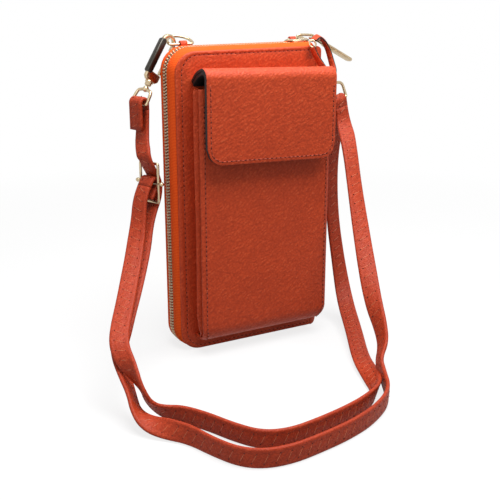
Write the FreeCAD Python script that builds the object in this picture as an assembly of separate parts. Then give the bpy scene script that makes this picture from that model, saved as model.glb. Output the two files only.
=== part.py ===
import FreeCAD, Part
import math
import os

# Zip-round phone pouch with a flapped front pocket and a hooked shoulder strap.
# Lengths in mm. X runs across, Y runs from the front to the back, Z is up from the table.

# Shares used in sums
half_share = 0.5
diagonal_share = math.sqrt(half_share)
bend_share = 0.45
parallel_share = 0.99

# Tolerances and overruns
touch = 0.01
overrun = 40.0

# Covers with their board and lining
cover_width = 103.0
cover_height = 188.0
pouch_depth = 23.0
cover_corner = 13.0
leather = 1.4
board = 1.6
lining = 0.8
board_inset = 3.0
lining_inset = 2.4
spine_round = 7.0
crease_gap = 0.3

# Inner pockets on the linings
card_leather = 0.8
card_side = 6.0
card_foot = 9.0
card_tops = [128.0, 102.0, 76.0]
bill_top = 140.0

# Zip
tape = 0.8
tape_seam = 0.6
tape_rise = 1.2
tape_floor = 0.9
tape_flat = 5.5
tape_end = 44.0
chain_reach = 2.7
chain_height = 2.4
chain_clear = 0.4
chain_low_end = 40.0
stop_length = 2.4

# Zip slider and the two pulls
slider_start = 32.0
slider_length = 13.5
slider_reach = 4.25
slider_plate = 1.2
slider_play = 0.3
slider_flange = 1.15
slider_slot_play = 0.4
post_length = 4.0
post_reach = 0.9
post_play = 0.15
bridge_start = 37.0
bridge_end = 50.2
bridge_reach = 0.9
bridge_bar = 1.2
bridge_leg = 1.4
bridge_window = 1.7
bridge_tip = 0.8
pin_x = 48.4
pin_drop = 1.4
pin_radius = 0.75
pin_reach = 2.6
pin_front = 4.9
pin_lug = 0.9
tab_out = 1.5
tab_length = 32.0
tab_half = 2.75
tab_eye = 1.55
tab_hole = 1.0
tab_neck = 6.0
tab_neck_half = 1.5
tab_plate = 1.0
tab_droop = 28.0
pull_width = 4.0
pull_leather = 1.5
pull_step = 4.0
pull_route = [
    (-0.4, -5.2, 0.4),
    (0.2, -10.8, 1.2),
    (1.2, -13.9, -5.4),
    (2.6, -13.8, -15.8),
    (5.6, -14.0, -24.4),
    (10.0, -11.8, -24.0),
    (12.2, -7.4, -17.8),
    (9.4, -5.4, -7.8),
    (5.2, -5.2, -0.4),
    (1.2, -5.2, 3.4),
]
pull_across = [
    (0.3, 0.1, 1.0),
    (0.9, 0.1, 0.3),
    (1.0, 0.0, 0.2),
    (1.0, 0.0, 0.4),
    (0.8, 0.3, 0.5),
    (0.3, 0.9, 0.3),
    (-0.4, 0.9, 0.0),
    (-0.3, 1.0, 0.0),
    (0.0, 1.0, 0.0),
    (0.0, 1.0, 0.2),
]

# Phone pocket on the front cover
pocket_half = 45.7
pocket_out = 17.0
pocket_drop = 20.0
pocket_curve_z = 33.0
pocket_curve = 28.6
pocket_lining = 0.6
pocket_lining_inset = 4.7
pocket_foot_inset = 1.8
pocket_foot_step = 2.0
pocket_lining_drop = 3.0
gusset_shift = 1.2
gusset_line = [(3.2, 0.0), (0.0, 12.1), (2.3, 13.7), (0.0, 15.6)]

# Flap over the pocket
flap_half = 43.7
flap_leather = 1.8
flap_lining = 1.2
flap_fold = 4.0
flap_fold_out = 22.0
flap_fold_drop = 12.0
flap_root_drop = 14.5
flap_root_out = 0.3
flap_hang = 51.0
flap_corner = 10.0
flap_gap = 0.3
anchor_inset = 3.2
anchor_drop = 4.0
anchor_height = 8.0
lining_margin = 0.6

# Magnet snap between the flap and the pocket
snap_rise = 11.0
snap_radius = 6.0
snap_height = 2.7
knob_radius = 2.0
knob_height = 1.6
recess_play = 1.0
recess_depth = 2.0
plate_radius = 7.0
plate_height = 0.5
plate_play = 0.3

# Rings and the tabs that hold them on the back cover
ring_wire = 0.9
ring_half = 8.0
ring_corner = 2.0
ring_play = 0.25
ring_tab_leather = 1.0
ring_tab_half = 2.25
ring_tab_length = 24.2
ring_tab_split = 10.2
ring_rise = 2.2
tab_left_x = -35.0
tab_right_x = 42.0
ring_left_x = -36.0
ring_right_x = 46.0
ring_left_lean = 25.0
ring_right_lean = -32.0

# Snap hooks, measured from the middle of the eye towards the strap
hook_inner = 3.3
hook_outer = 5.3
hook_plate = 2.6
hook_bar_inner = 2.4
hook_tip = 3.7
hook_base_start = 20.0
hook_base_end = 26.0
gate_start = 4.0
gate_end = 19.6
gate_half = 0.95
gate_middle = 4.3
gate_plate = 2.2
knuckle_radius = 2.2
knuckle_end = 29.0
swivel_ball = 2.0
swivel_centre = 31.2
swivel_shoulder = 5.0
swivel_bar = 40.5
swivel_half = 6.9
swivel_wire = 1.0
hook_left_down = (-0.538, -0.107, -0.836)
hook_left_normal = (-0.27, 0.96, 0.05)
hook_right_down = (0.314, -0.545, -0.778)
hook_right_normal = (-0.42, 0.77, -0.48)
hook_left_climb = 0.0
hook_right_climb = 25.0
bar_left_across = (0.371, -0.928, 0.0)
bar_right_across = (0.946, 0.206, 0.25)

# Strap buckle
buckle_centre = (-64.0, 3.0, 110.0)
buckle_half = 7.6
buckle_rise = 12.0
buckle_wire = 1.4
buckle_bar = 1.0
buckle_ball = 1.9
buckle_ball_reach = 10.4

# Strap
strap_width = 11.0
strap = 2.4
strap_play = 0.5
strap_step = 9.0
strap_lead = 12.0
buckle_lead = 17.0
hook_leg = 4.0
hook_tail = 16.0
buckle_leg = 4.0
buckle_tail = 10.0
inner_route = [
    (-61.0, 9.2, 127.0),
    (-58.5, 5.3, 110.0),
    (-58.4, 5.2, 85.0),
    (-69.4, -3.4, 74.0),
    (-79.2, -13.2, 65.2),
    (-89.4, -25.8, 53.6),
    (-99.9, -41.8, 41.8),
    (-106.8, -56.6, 32.4),
    (-109.0, -72.0, 19.4),
    (-106.0, -86.0, 8.8),
    (-99.0, -99.5, 5.8),
    (-84.0, -121.5, 5.8),
    (-66.0, -138.3, 5.8),
    (-42.0, -143.5, 5.8),
    (-16.0, -139.5, 5.8),
    (6.0, -131.0, 5.8),
    (22.0, -115.5, 5.8),
    (37.0, -82.0, 5.9),
    (57.0, -45.0, 6.4),
    (69.5, -17.0, 14.0),
    (72.5, -3.0, 38.0),
    (70.5, 4.0, 72.0),
    (69.0, 4.5, 108.0),
    (70.0, 0.5, 134.0),
]
inner_across = [
    (0.371, -0.928, 0.0),
    (0.371, -0.928, 0.0),
    (0.50, -0.85, 0.0),
    (0.75, -0.60, -0.15),
    (0.83, -0.54, -0.10),
    (0.84, -0.52, 0.0),
    (0.85, -0.50, 0.10),
    (0.85, -0.45, 0.20),
    (0.85, -0.35, 0.30),
    (0.40, -0.20, 0.85),
    (0.05, 0.0, 1.0),
    (0.0, 0.0, 1.0),
    (0.0, 0.0, 1.0),
    (0.0, 0.0, 1.0),
    (0.0, 0.0, 1.0),
    (0.0, 0.0, 1.0),
    (0.0, 0.0, 1.0),
    (0.15, -0.05, 1.0),
    (0.60, -0.30, 0.80),
    (0.90, -0.25, 0.30),
    (0.97, 0.10, 0.0),
    (0.96, 0.20, 0.0),
    (0.95, 0.20, 0.10),
    (0.95, 0.20, 0.20),
]
outer_route = [
    (-71.5, -5.2, 79.0),
    (-81.0, -15.4, 69.4),
    (-91.0, -28.2, 57.2),
    (-101.5, -44.2, 45.4),
    (-108.4, -59.0, 35.8),
    (-111.4, -75.0, 21.8),
    (-110.8, -89.0, 9.4),
    (-107.0, -102.5, 5.8),
    (-95.5, -124.0, 5.8),
    (-78.0, -148.0, 5.8),
    (-52.0, -157.0, 5.8),
    (-24.0, -152.5, 5.8),
    (4.0, -143.4, 5.8),
    (23.0, -128.5, 5.8),
    (34.5, -111.0, 6.4),
    (38.5, -98.0, 22.0),
    (43.5, -83.5, 42.0),
    (50.0, -64.0, 66.0),
    (57.5, -41.5, 98.0),
    (64.0, -23.0, 127.0),
]
outer_across = [
    (0.75, -0.60, -0.15),
    (0.83, -0.54, -0.10),
    (0.84, -0.52, 0.0),
    (0.85, -0.50, 0.10),
    (0.85, -0.45, 0.20),
    (0.85, -0.35, 0.30),
    (0.40, -0.20, 0.85),
    (0.05, 0.0, 1.0),
    (0.0, 0.0, 1.0),
    (0.0, 0.0, 1.0),
    (0.0, 0.0, 1.0),
    (0.0, 0.0, 1.0),
    (0.0, 0.0, 1.0),
    (0.0, 0.0, 1.0),
    (0.25, -0.10, 1.0),
    (0.80, -0.45, 0.45),
    (0.95, -0.20, 0.10),
    (0.96, 0.10, 0.10),
    (0.95, 0.20, 0.15),
    (0.95, 0.20, 0.20),
]

os.makedirs("parts", exist_ok=True)
V = FreeCAD.Vector
X = V(1, 0, 0)
Y = V(0, 1, 0)
Z = V(0, 0, 1)
origin = V(0, 0, 0)
half_width = cover_width * half_share
half_depth = pouch_depth * half_share
crease_x = half_width - spine_round
pocket_top = cover_height - pocket_drop
flap_fold_z = cover_height - flap_fold_drop
flap_root_z = cover_height - flap_root_drop
flap_bottom = flap_fold_z - flap_hang
snap_z = flap_bottom + snap_rise
ring_z = cover_height + ring_rise


def save(name, shape):
    """Write one piece and say how big it is."""
    shape.exportStep("parts/" + name + ".step")
    print(name, shape.isValid(), len(shape.Solids), round(shape.Volume, 1))


def block(x, y, z):
    """Box between the given ends on each axis."""
    return Part.makeBox(x[1] - x[0], y[1] - y[0], z[1] - z[0], V(x[0], y[0], z[0]))


def line(start, end):
    return Part.LineSegment(start, end).toShape()


def arc(start, middle, end):
    return Part.Arc(start, middle, end).toShape()


def rod(start, end, radius):
    """Round bar from one point to another."""
    return Part.makeCylinder(radius, (end - start).Length, start, end - start)


def joined(shapes):
    """One solid from pieces that touch or overlap."""
    whole = shapes[0]
    for shape in shapes[1:]:
        whole = whole.fuse(shape)
    return whole.removeSplitter()


def rounded(shape, radius, axis, level_axis, level):
    """Round the edges that run along an axis at one level."""
    picked = []
    for edge in shape.Edges:
        ends = edge.Vertexes
        level_off = max(abs(end.Point.dot(level_axis) - level) for end in ends)
        along = abs(edge.tangentAt(edge.FirstParameter).dot(axis))
        if level_off < touch and along > parallel_share:
            picked.append(edge)
    return shape.makeFillet(radius, picked)


def placed(shape, point, x_axis, y_axis):
    """Move a piece drawn at the origin to a point, with its axes turned."""
    z_axis = x_axis.cross(y_axis)
    matrix = FreeCAD.Matrix(
        x_axis.x, y_axis.x, z_axis.x, point.x,
        x_axis.y, y_axis.y, z_axis.y, point.y,
        x_axis.z, y_axis.z, z_axis.z, point.z,
        0, 0, 0, 1)
    moved = shape.copy()
    moved.Placement = FreeCAD.Placement(matrix)
    return moved


def unit(vector):
    return vector * (1 / vector.Length)


def square_to(vector, axis):
    """Unit vector nearest to the given one and square to the axis."""
    return unit(vector - axis * vector.dot(axis))


# Covers: leather, board and lining in layers, the same for front and back.
def outline(left, right, low, high, low_round, high_round, y):
    """Closed upright outline, rounded at its two left corners."""
    low_middle = V(left + low_round, y, low + low_round)
    high_middle = V(left + high_round, y, high - high_round)
    corners = [
        V(right, y, low), V(low_middle.x, y, low), V(left, y, low_middle.z),
        V(left, y, high_middle.z), V(high_middle.x, y, high), V(right, y, high)]
    low_bend = low_middle + V(-diagonal_share, 0, -diagonal_share) * low_round
    high_bend = high_middle + V(-diagonal_share, 0, diagonal_share) * high_round
    return Part.Wire([
        line(corners[0], corners[1]), arc(corners[1], low_bend, corners[2]),
        line(corners[2], corners[3]), arc(corners[3], high_bend, corners[4]),
        line(corners[4], corners[5]), line(corners[5], corners[0])])


def sheet(inset, right, front, back):
    """Flat sheet of the covers' form between two depths."""
    corner = cover_corner - inset
    edge = outline(-half_width + inset, right, inset, cover_height - inset, corner, corner, front)
    return Part.Face(edge).extrude(V(0, back - front, 0))


cover_right = crease_x - crease_gap
cover_in = -half_depth + leather
board_in = cover_in + board
lining_in = board_in + lining
halves = {
    "cover": sheet(0, cover_right, -half_depth, cover_in),
    "board": sheet(board_inset, cover_right - board_inset, cover_in, board_in),
    "lining": sheet(lining_inset, cover_right - lining_inset, board_in, lining_in),
}


# Zip tape: starts under the cover's edge, rises to the chain and runs on level.
def tape_form(inset):
    """Body inside the tape's outer or inner face."""
    seam_corner = cover_corner - tape_seam - inset
    seam = outline(
        -half_width + tape_seam + inset, tape_end + overrun, tape_seam + inset,
        cover_height - tape_seam - inset, seam_corner, seam_corner, cover_in)
    loops = [seam]
    for y in (-tape_flat, -chain_reach):
        loops.append(outline(
            -half_width - tape_rise + inset, tape_end + overrun, tape_floor + inset,
            cover_height + tape_rise - inset, cover_corner - inset, cover_corner + tape_rise - inset, y))
    return Part.makeLoft(loops, True, True)


tape_keep = block((-half_width - overrun, tape_end), (-half_depth, 0), (-overrun, cover_height + overrun))
halves["zip_tape"] = tape_form(0).cut(tape_form(tape)).common(tape_keep)

# Zip chain: one row of each side, centred on the tape and ending at the slider's mouth.
chain_over = (chain_height - tape) * half_share
chain_gap = post_reach + post_play


def chain_form(inset):
    """Body inside the chain's outer or inner face."""
    edge = outline(
        -half_width - tape_rise - chain_over + inset, tape_end + overrun, tape_floor - chain_over + inset,
        cover_height + tape_rise + chain_over - inset, cover_corner + chain_over - inset,
        cover_corner + tape_rise + chain_over - inset, -chain_reach)
    return Part.Face(edge).extrude(V(0, chain_reach - chain_gap, 0))


chain_low = tape_floor - chain_over
chain_keep = block(
    (-half_width - overrun, chain_low_end), (-half_depth, 0), (-overrun, cover_height + overrun))
chain_drop = block(
    (slider_start - chain_clear, half_width + overrun), (-half_depth, 0),
    (cover_height * half_share, cover_height + overrun))
halves["zip_chain"] = chain_form(0).cut(chain_form(chain_height)).common(chain_keep).cut(chain_drop)
halves["zip_stop"] = block(
    (chain_low_end, chain_low_end + stop_length), (-chain_reach, -chain_gap),
    (chain_low, chain_low + chain_height))

for name, shape in halves.items():
    save(name + "_front", shape)
    save(name + "_back", shape.mirror(origin, Y))


# Spine: leather bent round from the front crease to the back cover.
def spine_form(inset):
    """Upright body inside the spine's outer or inner face."""
    body = block(
        (crease_x - overrun, half_width - inset), (-half_depth + inset, half_depth - inset), (0, cover_height))
    return rounded(body, spine_round - inset, Z, X, half_width - inset)


spine_keep = block((crease_x, half_width), (-half_depth, half_depth), (0, cover_height))
spine_keep = rounded(spine_keep, spine_round - touch, Y, X, half_width)
save("spine", spine_form(0).cut(spine_form(leather)).common(spine_keep))

# Card pockets in steps on the back lining, and one slip pocket on the front lining.
card_x = (-half_width + card_side, cover_right - card_side)
card_back = -lining_in
for number, top in enumerate(card_tops):
    card_front = card_back - card_leather
    save("card_pocket_%d" % number, block(card_x, (card_front, card_back), (card_foot, top)))
    card_back = card_front
save("slip_pocket", block(card_x, (lining_in, lining_in + card_leather), (card_foot, bill_top)))

# Zip slider: two plates with flanges round the chain, and a bridge with a cross pin for the pulls.
slider_end = slider_start + slider_length
chain_high = cover_height + tape_rise + chain_over
slider_floor = chain_high - chain_height - slider_play
slider_roof = chain_high + slider_play
tape_high = cover_height + tape_rise
slider_x = (slider_start, slider_end)
slider_y = (-slider_reach, slider_reach)
slider_top = slider_roof + slider_plate
bridge_low = slider_top + bridge_window
bridge_y = (-bridge_reach, bridge_reach)
pin_z = bridge_low - pin_drop
slider_pieces = [
    block(slider_x, slider_y, (slider_roof, slider_top)),
    block(slider_x, slider_y, (slider_floor - slider_plate, slider_floor)),
    block((slider_end - post_length, slider_end), (-post_reach, post_reach), (slider_floor, slider_roof)),
    block((bridge_start, bridge_end), bridge_y, (bridge_low, bridge_low + bridge_bar)),
    block((bridge_start, bridge_start + bridge_leg), bridge_y, (slider_top, bridge_low)),
    block((slider_end - bridge_leg, slider_end), bridge_y, (slider_top, bridge_low)),
    block((bridge_end - bridge_tip, bridge_end), bridge_y, (slider_top, bridge_low)),
    block((pin_x - pin_lug, pin_x + pin_lug), bridge_y, (pin_z - pin_lug, bridge_low)),
    rod(V(pin_x, -pin_front, pin_z), V(pin_x, pin_reach, pin_z), pin_radius),
]
for side_y in ((-slider_reach, -slider_reach + slider_flange), (slider_reach - slider_flange, slider_reach)):
    slider_pieces.append(block(slider_x, side_y, (tape_high + slider_slot_play, slider_roof)))
    slider_pieces.append(block(slider_x, side_y, (slider_floor, tape_high - tape - slider_slot_play)))
save("zip_slider", joined(slider_pieces))

# Flat metal pull, hung on the pin and drooping over the corner of the pouch.
droop = math.radians(tab_droop)
tab_along = V(math.cos(droop), 0, -math.sin(droop))
tab_start = V(pin_x, -tab_out, pin_z)
tab_round = tab_length - tab_half
tab_back = V(0, 0, -tab_plate * half_share)
tab_z = (-tab_plate * half_share, tab_plate * half_share)
tab_form = joined([
    Part.makeCylinder(tab_eye, tab_plate, tab_back, Z),
    block((0, tab_neck), (-tab_neck_half, tab_neck_half), tab_z),
    block((tab_neck, tab_round), (-tab_half, tab_half), tab_z),
    Part.makeCylinder(tab_half, tab_plate, V(tab_round, 0, 0) + tab_back, Z)])
tab_form = tab_form.cut(Part.makeCylinder(tab_hole, tab_plate, tab_back, Z))
save("zip_pull_tab", placed(tab_form, tab_start, tab_along, tab_along.cross(Y)))


# Bands: a path of straight runs and tangent bends, with the band's width turned along it.
def soft_path(points, name):
    """Wire through the runs with a bend at each inner point."""
    edges = []
    radii = []
    last = points[0]
    for before, here, after in zip(points, points[1:], points[2:]):
        back = unit(before - here)
        on = unit(after - here)
        reach = min((before - here).Length, (after - here).Length) * bend_share
        half_turn = (math.pi - back.getAngle(on)) * half_share
        radius = reach / math.tan(half_turn)
        toward = unit(back + on)
        middle = here + toward * (radius / math.cos(half_turn) - radius)
        edges.append(line(last, here + back * reach))
        edges.append(arc(here + back * reach, middle, here + on * reach))
        last = here + on * reach
        radii.append(round(radius, 1))
    edges.append(line(last, points[-1]))
    wire = Part.Wire(edges)
    print(name, "length", round(wire.Length, 1), "radii", radii)
    return wire


def band(points, across, width, thickness, step, name):
    """Flat band along a path, its width turning from one given direction to the next."""
    wire = soft_path(points, name)
    count = math.ceil(wire.Length / step) + 1
    spots = wire.discretize(Number=count)
    marks = [0]
    for start, end in zip(points, points[1:]):
        marks.append(marks[-1] + (end - start).Length)
    loops = []
    travelled = 0
    stretch = marks[-1] / sum((b - a).Length for a, b in zip(spots, spots[1:]))
    for index, spot in enumerate(spots):
        before = spots[max(index - 1, 0)]
        after = spots[min(index + 1, count - 1)]
        if index == 0:
            along = unit(points[1] - points[0])
        elif index == count - 1:
            along = unit(points[-1] - points[-2])
        else:
            along = unit(after - before)
        travelled = travelled + (spot - before).Length * stretch
        place = max(n for n in range(len(marks) - 1) if marks[n] <= travelled + touch)
        share = min((travelled - marks[place]) / (marks[place + 1] - marks[place]), 1)
        turned = unit(across[place]) * (1 - share) + unit(across[place + 1]) * share
        side = square_to(turned, along) * (width * half_share)
        face = unit(along.cross(side)) * (thickness * half_share)
        corners = [spot + side + face, spot - side + face, spot - side - face, spot + side - face]
        loops.append(Part.makePolygon(corners + corners[:1]))
    return Part.makeLoft(loops, True, True)


def vectors(rows):
    return [V(*row) for row in rows]


# Leather pull loop: hangs from the pin over the front corner and comes back up.
pull_points = [V(pin_x, 0, pin_z) + point for point in vectors(pull_route)]
save("zip_pull_loop", band(
    pull_points, vectors(pull_across), pull_width, pull_leather, pull_step, "zip_pull_loop"))


# Phone pocket: a face that curves back to the cover at its foot, folded sides and a lining.
def pocket_room(inset, half, top):
    """Body between the cover and the pocket's outer or inner face."""
    front = -half_depth - pocket_out + inset
    upper = block((-half, half), (front, -half_depth), (pocket_curve_z, top))
    middle = V(-half, -half_depth - pocket_out + pocket_curve, pocket_curve_z)
    drum = Part.makeCylinder(pocket_curve - inset, half + half, middle, X)
    lower = drum.common(block((-half, half), (front - overrun, -half_depth), (-overrun, pocket_curve_z)))
    return upper.fuse(lower)


pocket_front = -half_depth - pocket_out
pocket_foot_half = pocket_half - pocket_foot_inset
pocket_back = pocket_front + leather
open_top = pocket_top + overrun
face = pocket_room(0, pocket_half, pocket_top).cut(pocket_room(leather, pocket_half, open_top))
for side_x in ((-overrun - pocket_half, -pocket_foot_half), (pocket_foot_half, pocket_half + overrun)):
    face = face.cut(block(side_x, (-half_depth - pocket_foot_step, -half_depth), (-overrun, pocket_curve_z)))
save("pocket_face", face.removeSplitter())

lining_half = pocket_half - pocket_lining_inset
lining_form = pocket_room(leather, lining_half, pocket_top - pocket_lining_drop)
lining_form = lining_form.cut(pocket_room(leather + pocket_lining, lining_half, open_top))
plate_hole = Part.makeCylinder(
    plate_radius + plate_play, leather + pocket_lining, V(0, pocket_front, snap_z), Y)
save("pocket_lining", lining_form.removeSplitter().cut(plate_hole))

gusset_outer = [V(inset - pocket_half, -half_depth - out, 0) for inset, out in gusset_line]
gusset_inner = [point + V(gusset_shift, 0, 0) for point in reversed(gusset_outer)]
gusset_edge = Part.makePolygon(gusset_outer + gusset_inner + gusset_outer[:1])
gusset = Part.Face(gusset_edge).extrude(V(0, 0, pocket_top))
gusset = gusset.common(pocket_room(leather, pocket_half, pocket_top))
save("pocket_gusset_left", gusset)
save("pocket_gusset_right", gusset.mirror(origin, X))

# Flap: a strip sewn to the cover, a roof with a rounded fold and a hanging front.
anchor_y = (-half_depth - leather, -half_depth)
anchor_x = (anchor_inset - flap_half, flap_half - anchor_inset)
anchor_top = flap_root_z - anchor_drop
save("flap_anchor", block(anchor_x, anchor_y, (anchor_top - anchor_height, anchor_top)))

fold_point = V(-flap_half, -half_depth - flap_fold_out, flap_fold_z)
root_point = V(-flap_half, -half_depth - flap_root_out, flap_root_z)
reach = fold_point - root_point
rise = math.atan2(reach.z, -reach.y) + math.asin(flap_fold / reach.Length)
roof_length = math.sqrt(reach.Length ** 2 - flap_fold ** 2)
roof_along = V(0, -math.cos(rise), math.sin(rise))
roof_up = V(0, math.sin(rise), math.cos(rise))
flap_thick = flap_leather + flap_lining


def roof_layer(outer, inner, half):
    """Part of the roof and its fold between two depths under the top face."""
    start = root_point + V(flap_half - half, 0, 0)
    slab = Part.makeBox(half + half, roof_length, inner - outer)
    slab = placed(slab, start - roof_up * outer, X, roof_along)
    middle = fold_point + V(flap_half - half, 0, 0)
    bend = Part.makeCylinder(flap_fold - outer, half + half, middle, X)
    bend = bend.cut(Part.makeCylinder(flap_fold - inner, half + half, middle, X))
    wedge = Part.makeBox(half + half, overrun, overrun + overrun)
    wedge = placed(wedge, middle + roof_up * overrun, X, roof_along)
    above = block((-half, half), (middle.y - overrun, middle.y + overrun), (flap_fold_z, flap_fold_z + overrun))
    return joined([slab, bend.common(wedge).common(above)])


save("flap_roof", roof_layer(0, flap_leather, flap_half))
save("flap_roof_lining", roof_layer(flap_leather, flap_thick, flap_half - lining_margin))

flap_front = fold_point.y - flap_fold
flap_middle = flap_front + flap_leather
flap_back = flap_front + flap_thick
flap_high = flap_fold_z - flap_gap


def flap_layer(front, back, margin):
    """Hanging front of the flap with rounded lower corners."""
    body = block((-flap_half + margin, flap_half - margin), (front, back), (flap_bottom + margin, flap_high))
    return rounded(body, flap_corner - margin, Y, Z, flap_bottom + margin)


save("flap_front", flap_layer(flap_front, flap_middle, 0))
flap_hole = Part.makeCylinder(plate_radius + plate_play, plate_height, V(0, flap_middle, snap_z), Y)
save("flap_front_lining", flap_layer(flap_middle, flap_back, lining_margin).cut(flap_hole))

# Magnet snap: a stud on the flap and a recessed socket on the pocket, each with a plate behind.
socket = Part.makeCylinder(snap_radius, snap_height, V(0, pocket_front, snap_z), -Y)
recess_start = V(0, pocket_front - snap_height + recess_depth, snap_z)
socket = socket.cut(Part.makeCylinder(knob_radius + recess_play, recess_depth, recess_start, -Y))
save("snap_socket", socket)
stud_end = V(0, flap_back + snap_height, snap_z)
stud = Part.makeCylinder(snap_radius, snap_height, V(0, flap_back, snap_z), Y)
save("snap_stud", joined([stud, Part.makeCylinder(knob_radius, knob_height, stud_end, Y)]))
save("snap_plate_pocket", Part.makeCylinder(plate_radius, plate_height, V(0, pocket_back, snap_z), Y))
save("snap_plate_flap", Part.makeCylinder(plate_radius, plate_height, V(0, flap_middle, snap_z), Y))

# Ring tabs: strips sewn to the back cover, each looped round the straight bar of a ring.
loop_inner = ring_wire + ring_play
loop_outer = loop_inner + ring_tab_leather
ring_y = half_depth + loop_outer


def ring_tab(x):
    """Strip with its loop, centred at x."""
    start = V(x - ring_tab_half, ring_y, ring_z)
    eye = Part.makeCylinder(loop_outer, ring_tab_half + ring_tab_half, start, X)
    eye = eye.cut(Part.makeCylinder(loop_inner, ring_tab_half + ring_tab_half, start, X))
    eye = eye.common(block(
        (start.x, start.x + ring_tab_half + ring_tab_half), (half_depth, ring_y + loop_outer),
        (ring_z, ring_z + loop_outer)))
    ring_tab_low = ring_z - ring_tab_length
    ring_tab_join = ring_z - ring_tab_split
    near = half_depth + ring_tab_leather
    far = ring_y + loop_inner
    side = [
        V(start.x, half_depth, ring_z), V(start.x, half_depth, ring_tab_low),
        V(start.x, near + ring_tab_leather, ring_tab_low), V(start.x, near + ring_tab_leather, ring_tab_join),
        V(start.x, far + ring_tab_leather, ring_z), V(start.x, far, ring_z),
        V(start.x, near, ring_tab_join), V(start.x, near, ring_z)]
    legs = Part.Face(Part.makePolygon(side + side[:1])).extrude(X * (ring_tab_half + ring_tab_half))
    return joined([legs, eye])


save("ring_tab_left", ring_tab(tab_left_x))
save("ring_tab_right", ring_tab(tab_right_x))


# Rings: a straight bar with a round arch, leaning at its own angle.
def ring(x, lean):
    """D-shaped ring with its bar on the tab's axis."""
    turn = math.radians(lean)
    flat = ring_half - ring_corner
    bend = ring_corner * diagonal_share
    middle = V(0, ring_corner, 0)
    path = [
        line(origin, V(flat, 0, 0)),
        arc(V(flat, 0, 0), V(flat + bend, ring_corner - bend, 0), V(ring_half, ring_corner, 0)),
        arc(V(ring_half, ring_corner, 0), middle + V(0, ring_half, 0), V(-ring_half, ring_corner, 0)),
        arc(V(-ring_half, ring_corner, 0), V(-flat - bend, ring_corner - bend, 0), V(-flat, 0, 0)),
        line(V(-flat, 0, 0), origin)]
    section = Part.Wire([Part.Circle(origin, X, ring_wire).toShape()])
    form = Part.Wire(path).makePipeShell([section], True, False)
    return placed(form, V(x, ring_y, ring_z), X, V(0, math.cos(turn), math.sin(turn)))


save("d_ring_left", ring(ring_left_x, ring_left_lean))
save("d_ring_right", ring(ring_right_x, ring_right_lean))

# Snap hooks: eye, bar and base in one plate, a gate, and a swivel loop for the strap.
half_plate = hook_plate * half_share
hook_z = (-half_plate, half_plate)
hook_eye = Part.makeCylinder(hook_outer, hook_plate, V(0, 0, -half_plate), Z)
hook_eye = hook_eye.cut(Part.makeCylinder(hook_inner, hook_plate, V(0, 0, -half_plate), Z))
hook_eye = hook_eye.common(block((-hook_outer, 0), (-hook_outer, hook_outer), hook_z))
hook_form = joined([
    hook_eye,
    block((0, hook_base_start), (-hook_outer, -hook_bar_inner), hook_z),
    block((0, hook_tip), (hook_inner, hook_outer), hook_z),
    block((hook_base_start, hook_base_end), (-hook_outer, hook_outer), hook_z),
    rod(V(hook_base_end, 0, 0), V(knuckle_end, 0, 0), knuckle_radius)])
gate_z = (-gate_plate * half_share, gate_plate * half_share)
gate_form = block((gate_start, gate_end), (gate_middle - gate_half, gate_middle + gate_half), gate_z)


def swivel(point, down, across):
    """Wire loop from the swivel ball to the bar that carries the strap."""
    top = point + down * swivel_centre
    bar = point + down * swivel_bar
    ends = [bar + across * swivel_half, bar - across * swivel_half]
    pieces = [Part.makeSphere(swivel_ball, top), rod(ends[0], ends[1], swivel_wire)]
    for end in ends:
        shoulder = end - down * swivel_shoulder
        pieces.append(rod(shoulder, end, swivel_wire))
        pieces.append(rod(top, shoulder, swivel_wire))
        pieces.append(Part.makeSphere(swivel_wire, shoulder))
        pieces.append(Part.makeSphere(swivel_wire, end))
    return joined(pieces)


# Strap folds: the band bent round a bar, with a short leg and a sewn tail.
def strap_fold(bar, across, down, wire, leg, tail):
    """Bend round a bar, tail on the outer side and leg on the inner side."""
    inner = wire + strap_play
    outer = inner + strap
    low = -strap_width * half_share
    bend = Part.makeCylinder(outer, strap_width, V(0, 0, low), Z)
    bend = bend.cut(Part.makeCylinder(inner, strap_width, V(0, 0, low), Z))
    bend = bend.common(block((-outer, 0), (-outer, outer), (low, -low)))
    form = joined([
        bend,
        block((0, leg), (inner, outer), (low, -low)),
        block((0, tail), (-outer, -inner), (low, -low))])
    return placed(form, bar, down, across.cross(down))


sides = {
    "left": (ring_left_x, -ring_half, ring_left_lean, hook_left_climb,
             hook_left_down, hook_left_normal, bar_left_across),
    "right": (ring_right_x, ring_half, ring_right_lean, hook_right_climb,
              hook_right_down, hook_right_normal, bar_right_across),
}
bars = {}
for side, (ring_x, ring_side, lean, climb, down, normal, across) in sides.items():
    turn = math.radians(lean)
    climb = math.radians(climb)
    eye_up = ring_corner + ring_half * math.sin(climb)
    eye_x = ring_x + ring_side * math.cos(climb)
    eye = V(eye_x, ring_y + eye_up * math.cos(turn), ring_z + eye_up * math.sin(turn))
    down = unit(V(*down))
    normal = square_to(V(*normal), down)
    across = square_to(V(*across), down)
    hook_side = down.cross(normal)
    save("hook_" + side, placed(hook_form, eye, down, hook_side))
    save("hook_gate_" + side, placed(gate_form, eye, down, hook_side))
    save("hook_swivel_" + side, swivel(eye, down, across))
    bars[side] = (eye + down * swivel_bar, across)

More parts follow.
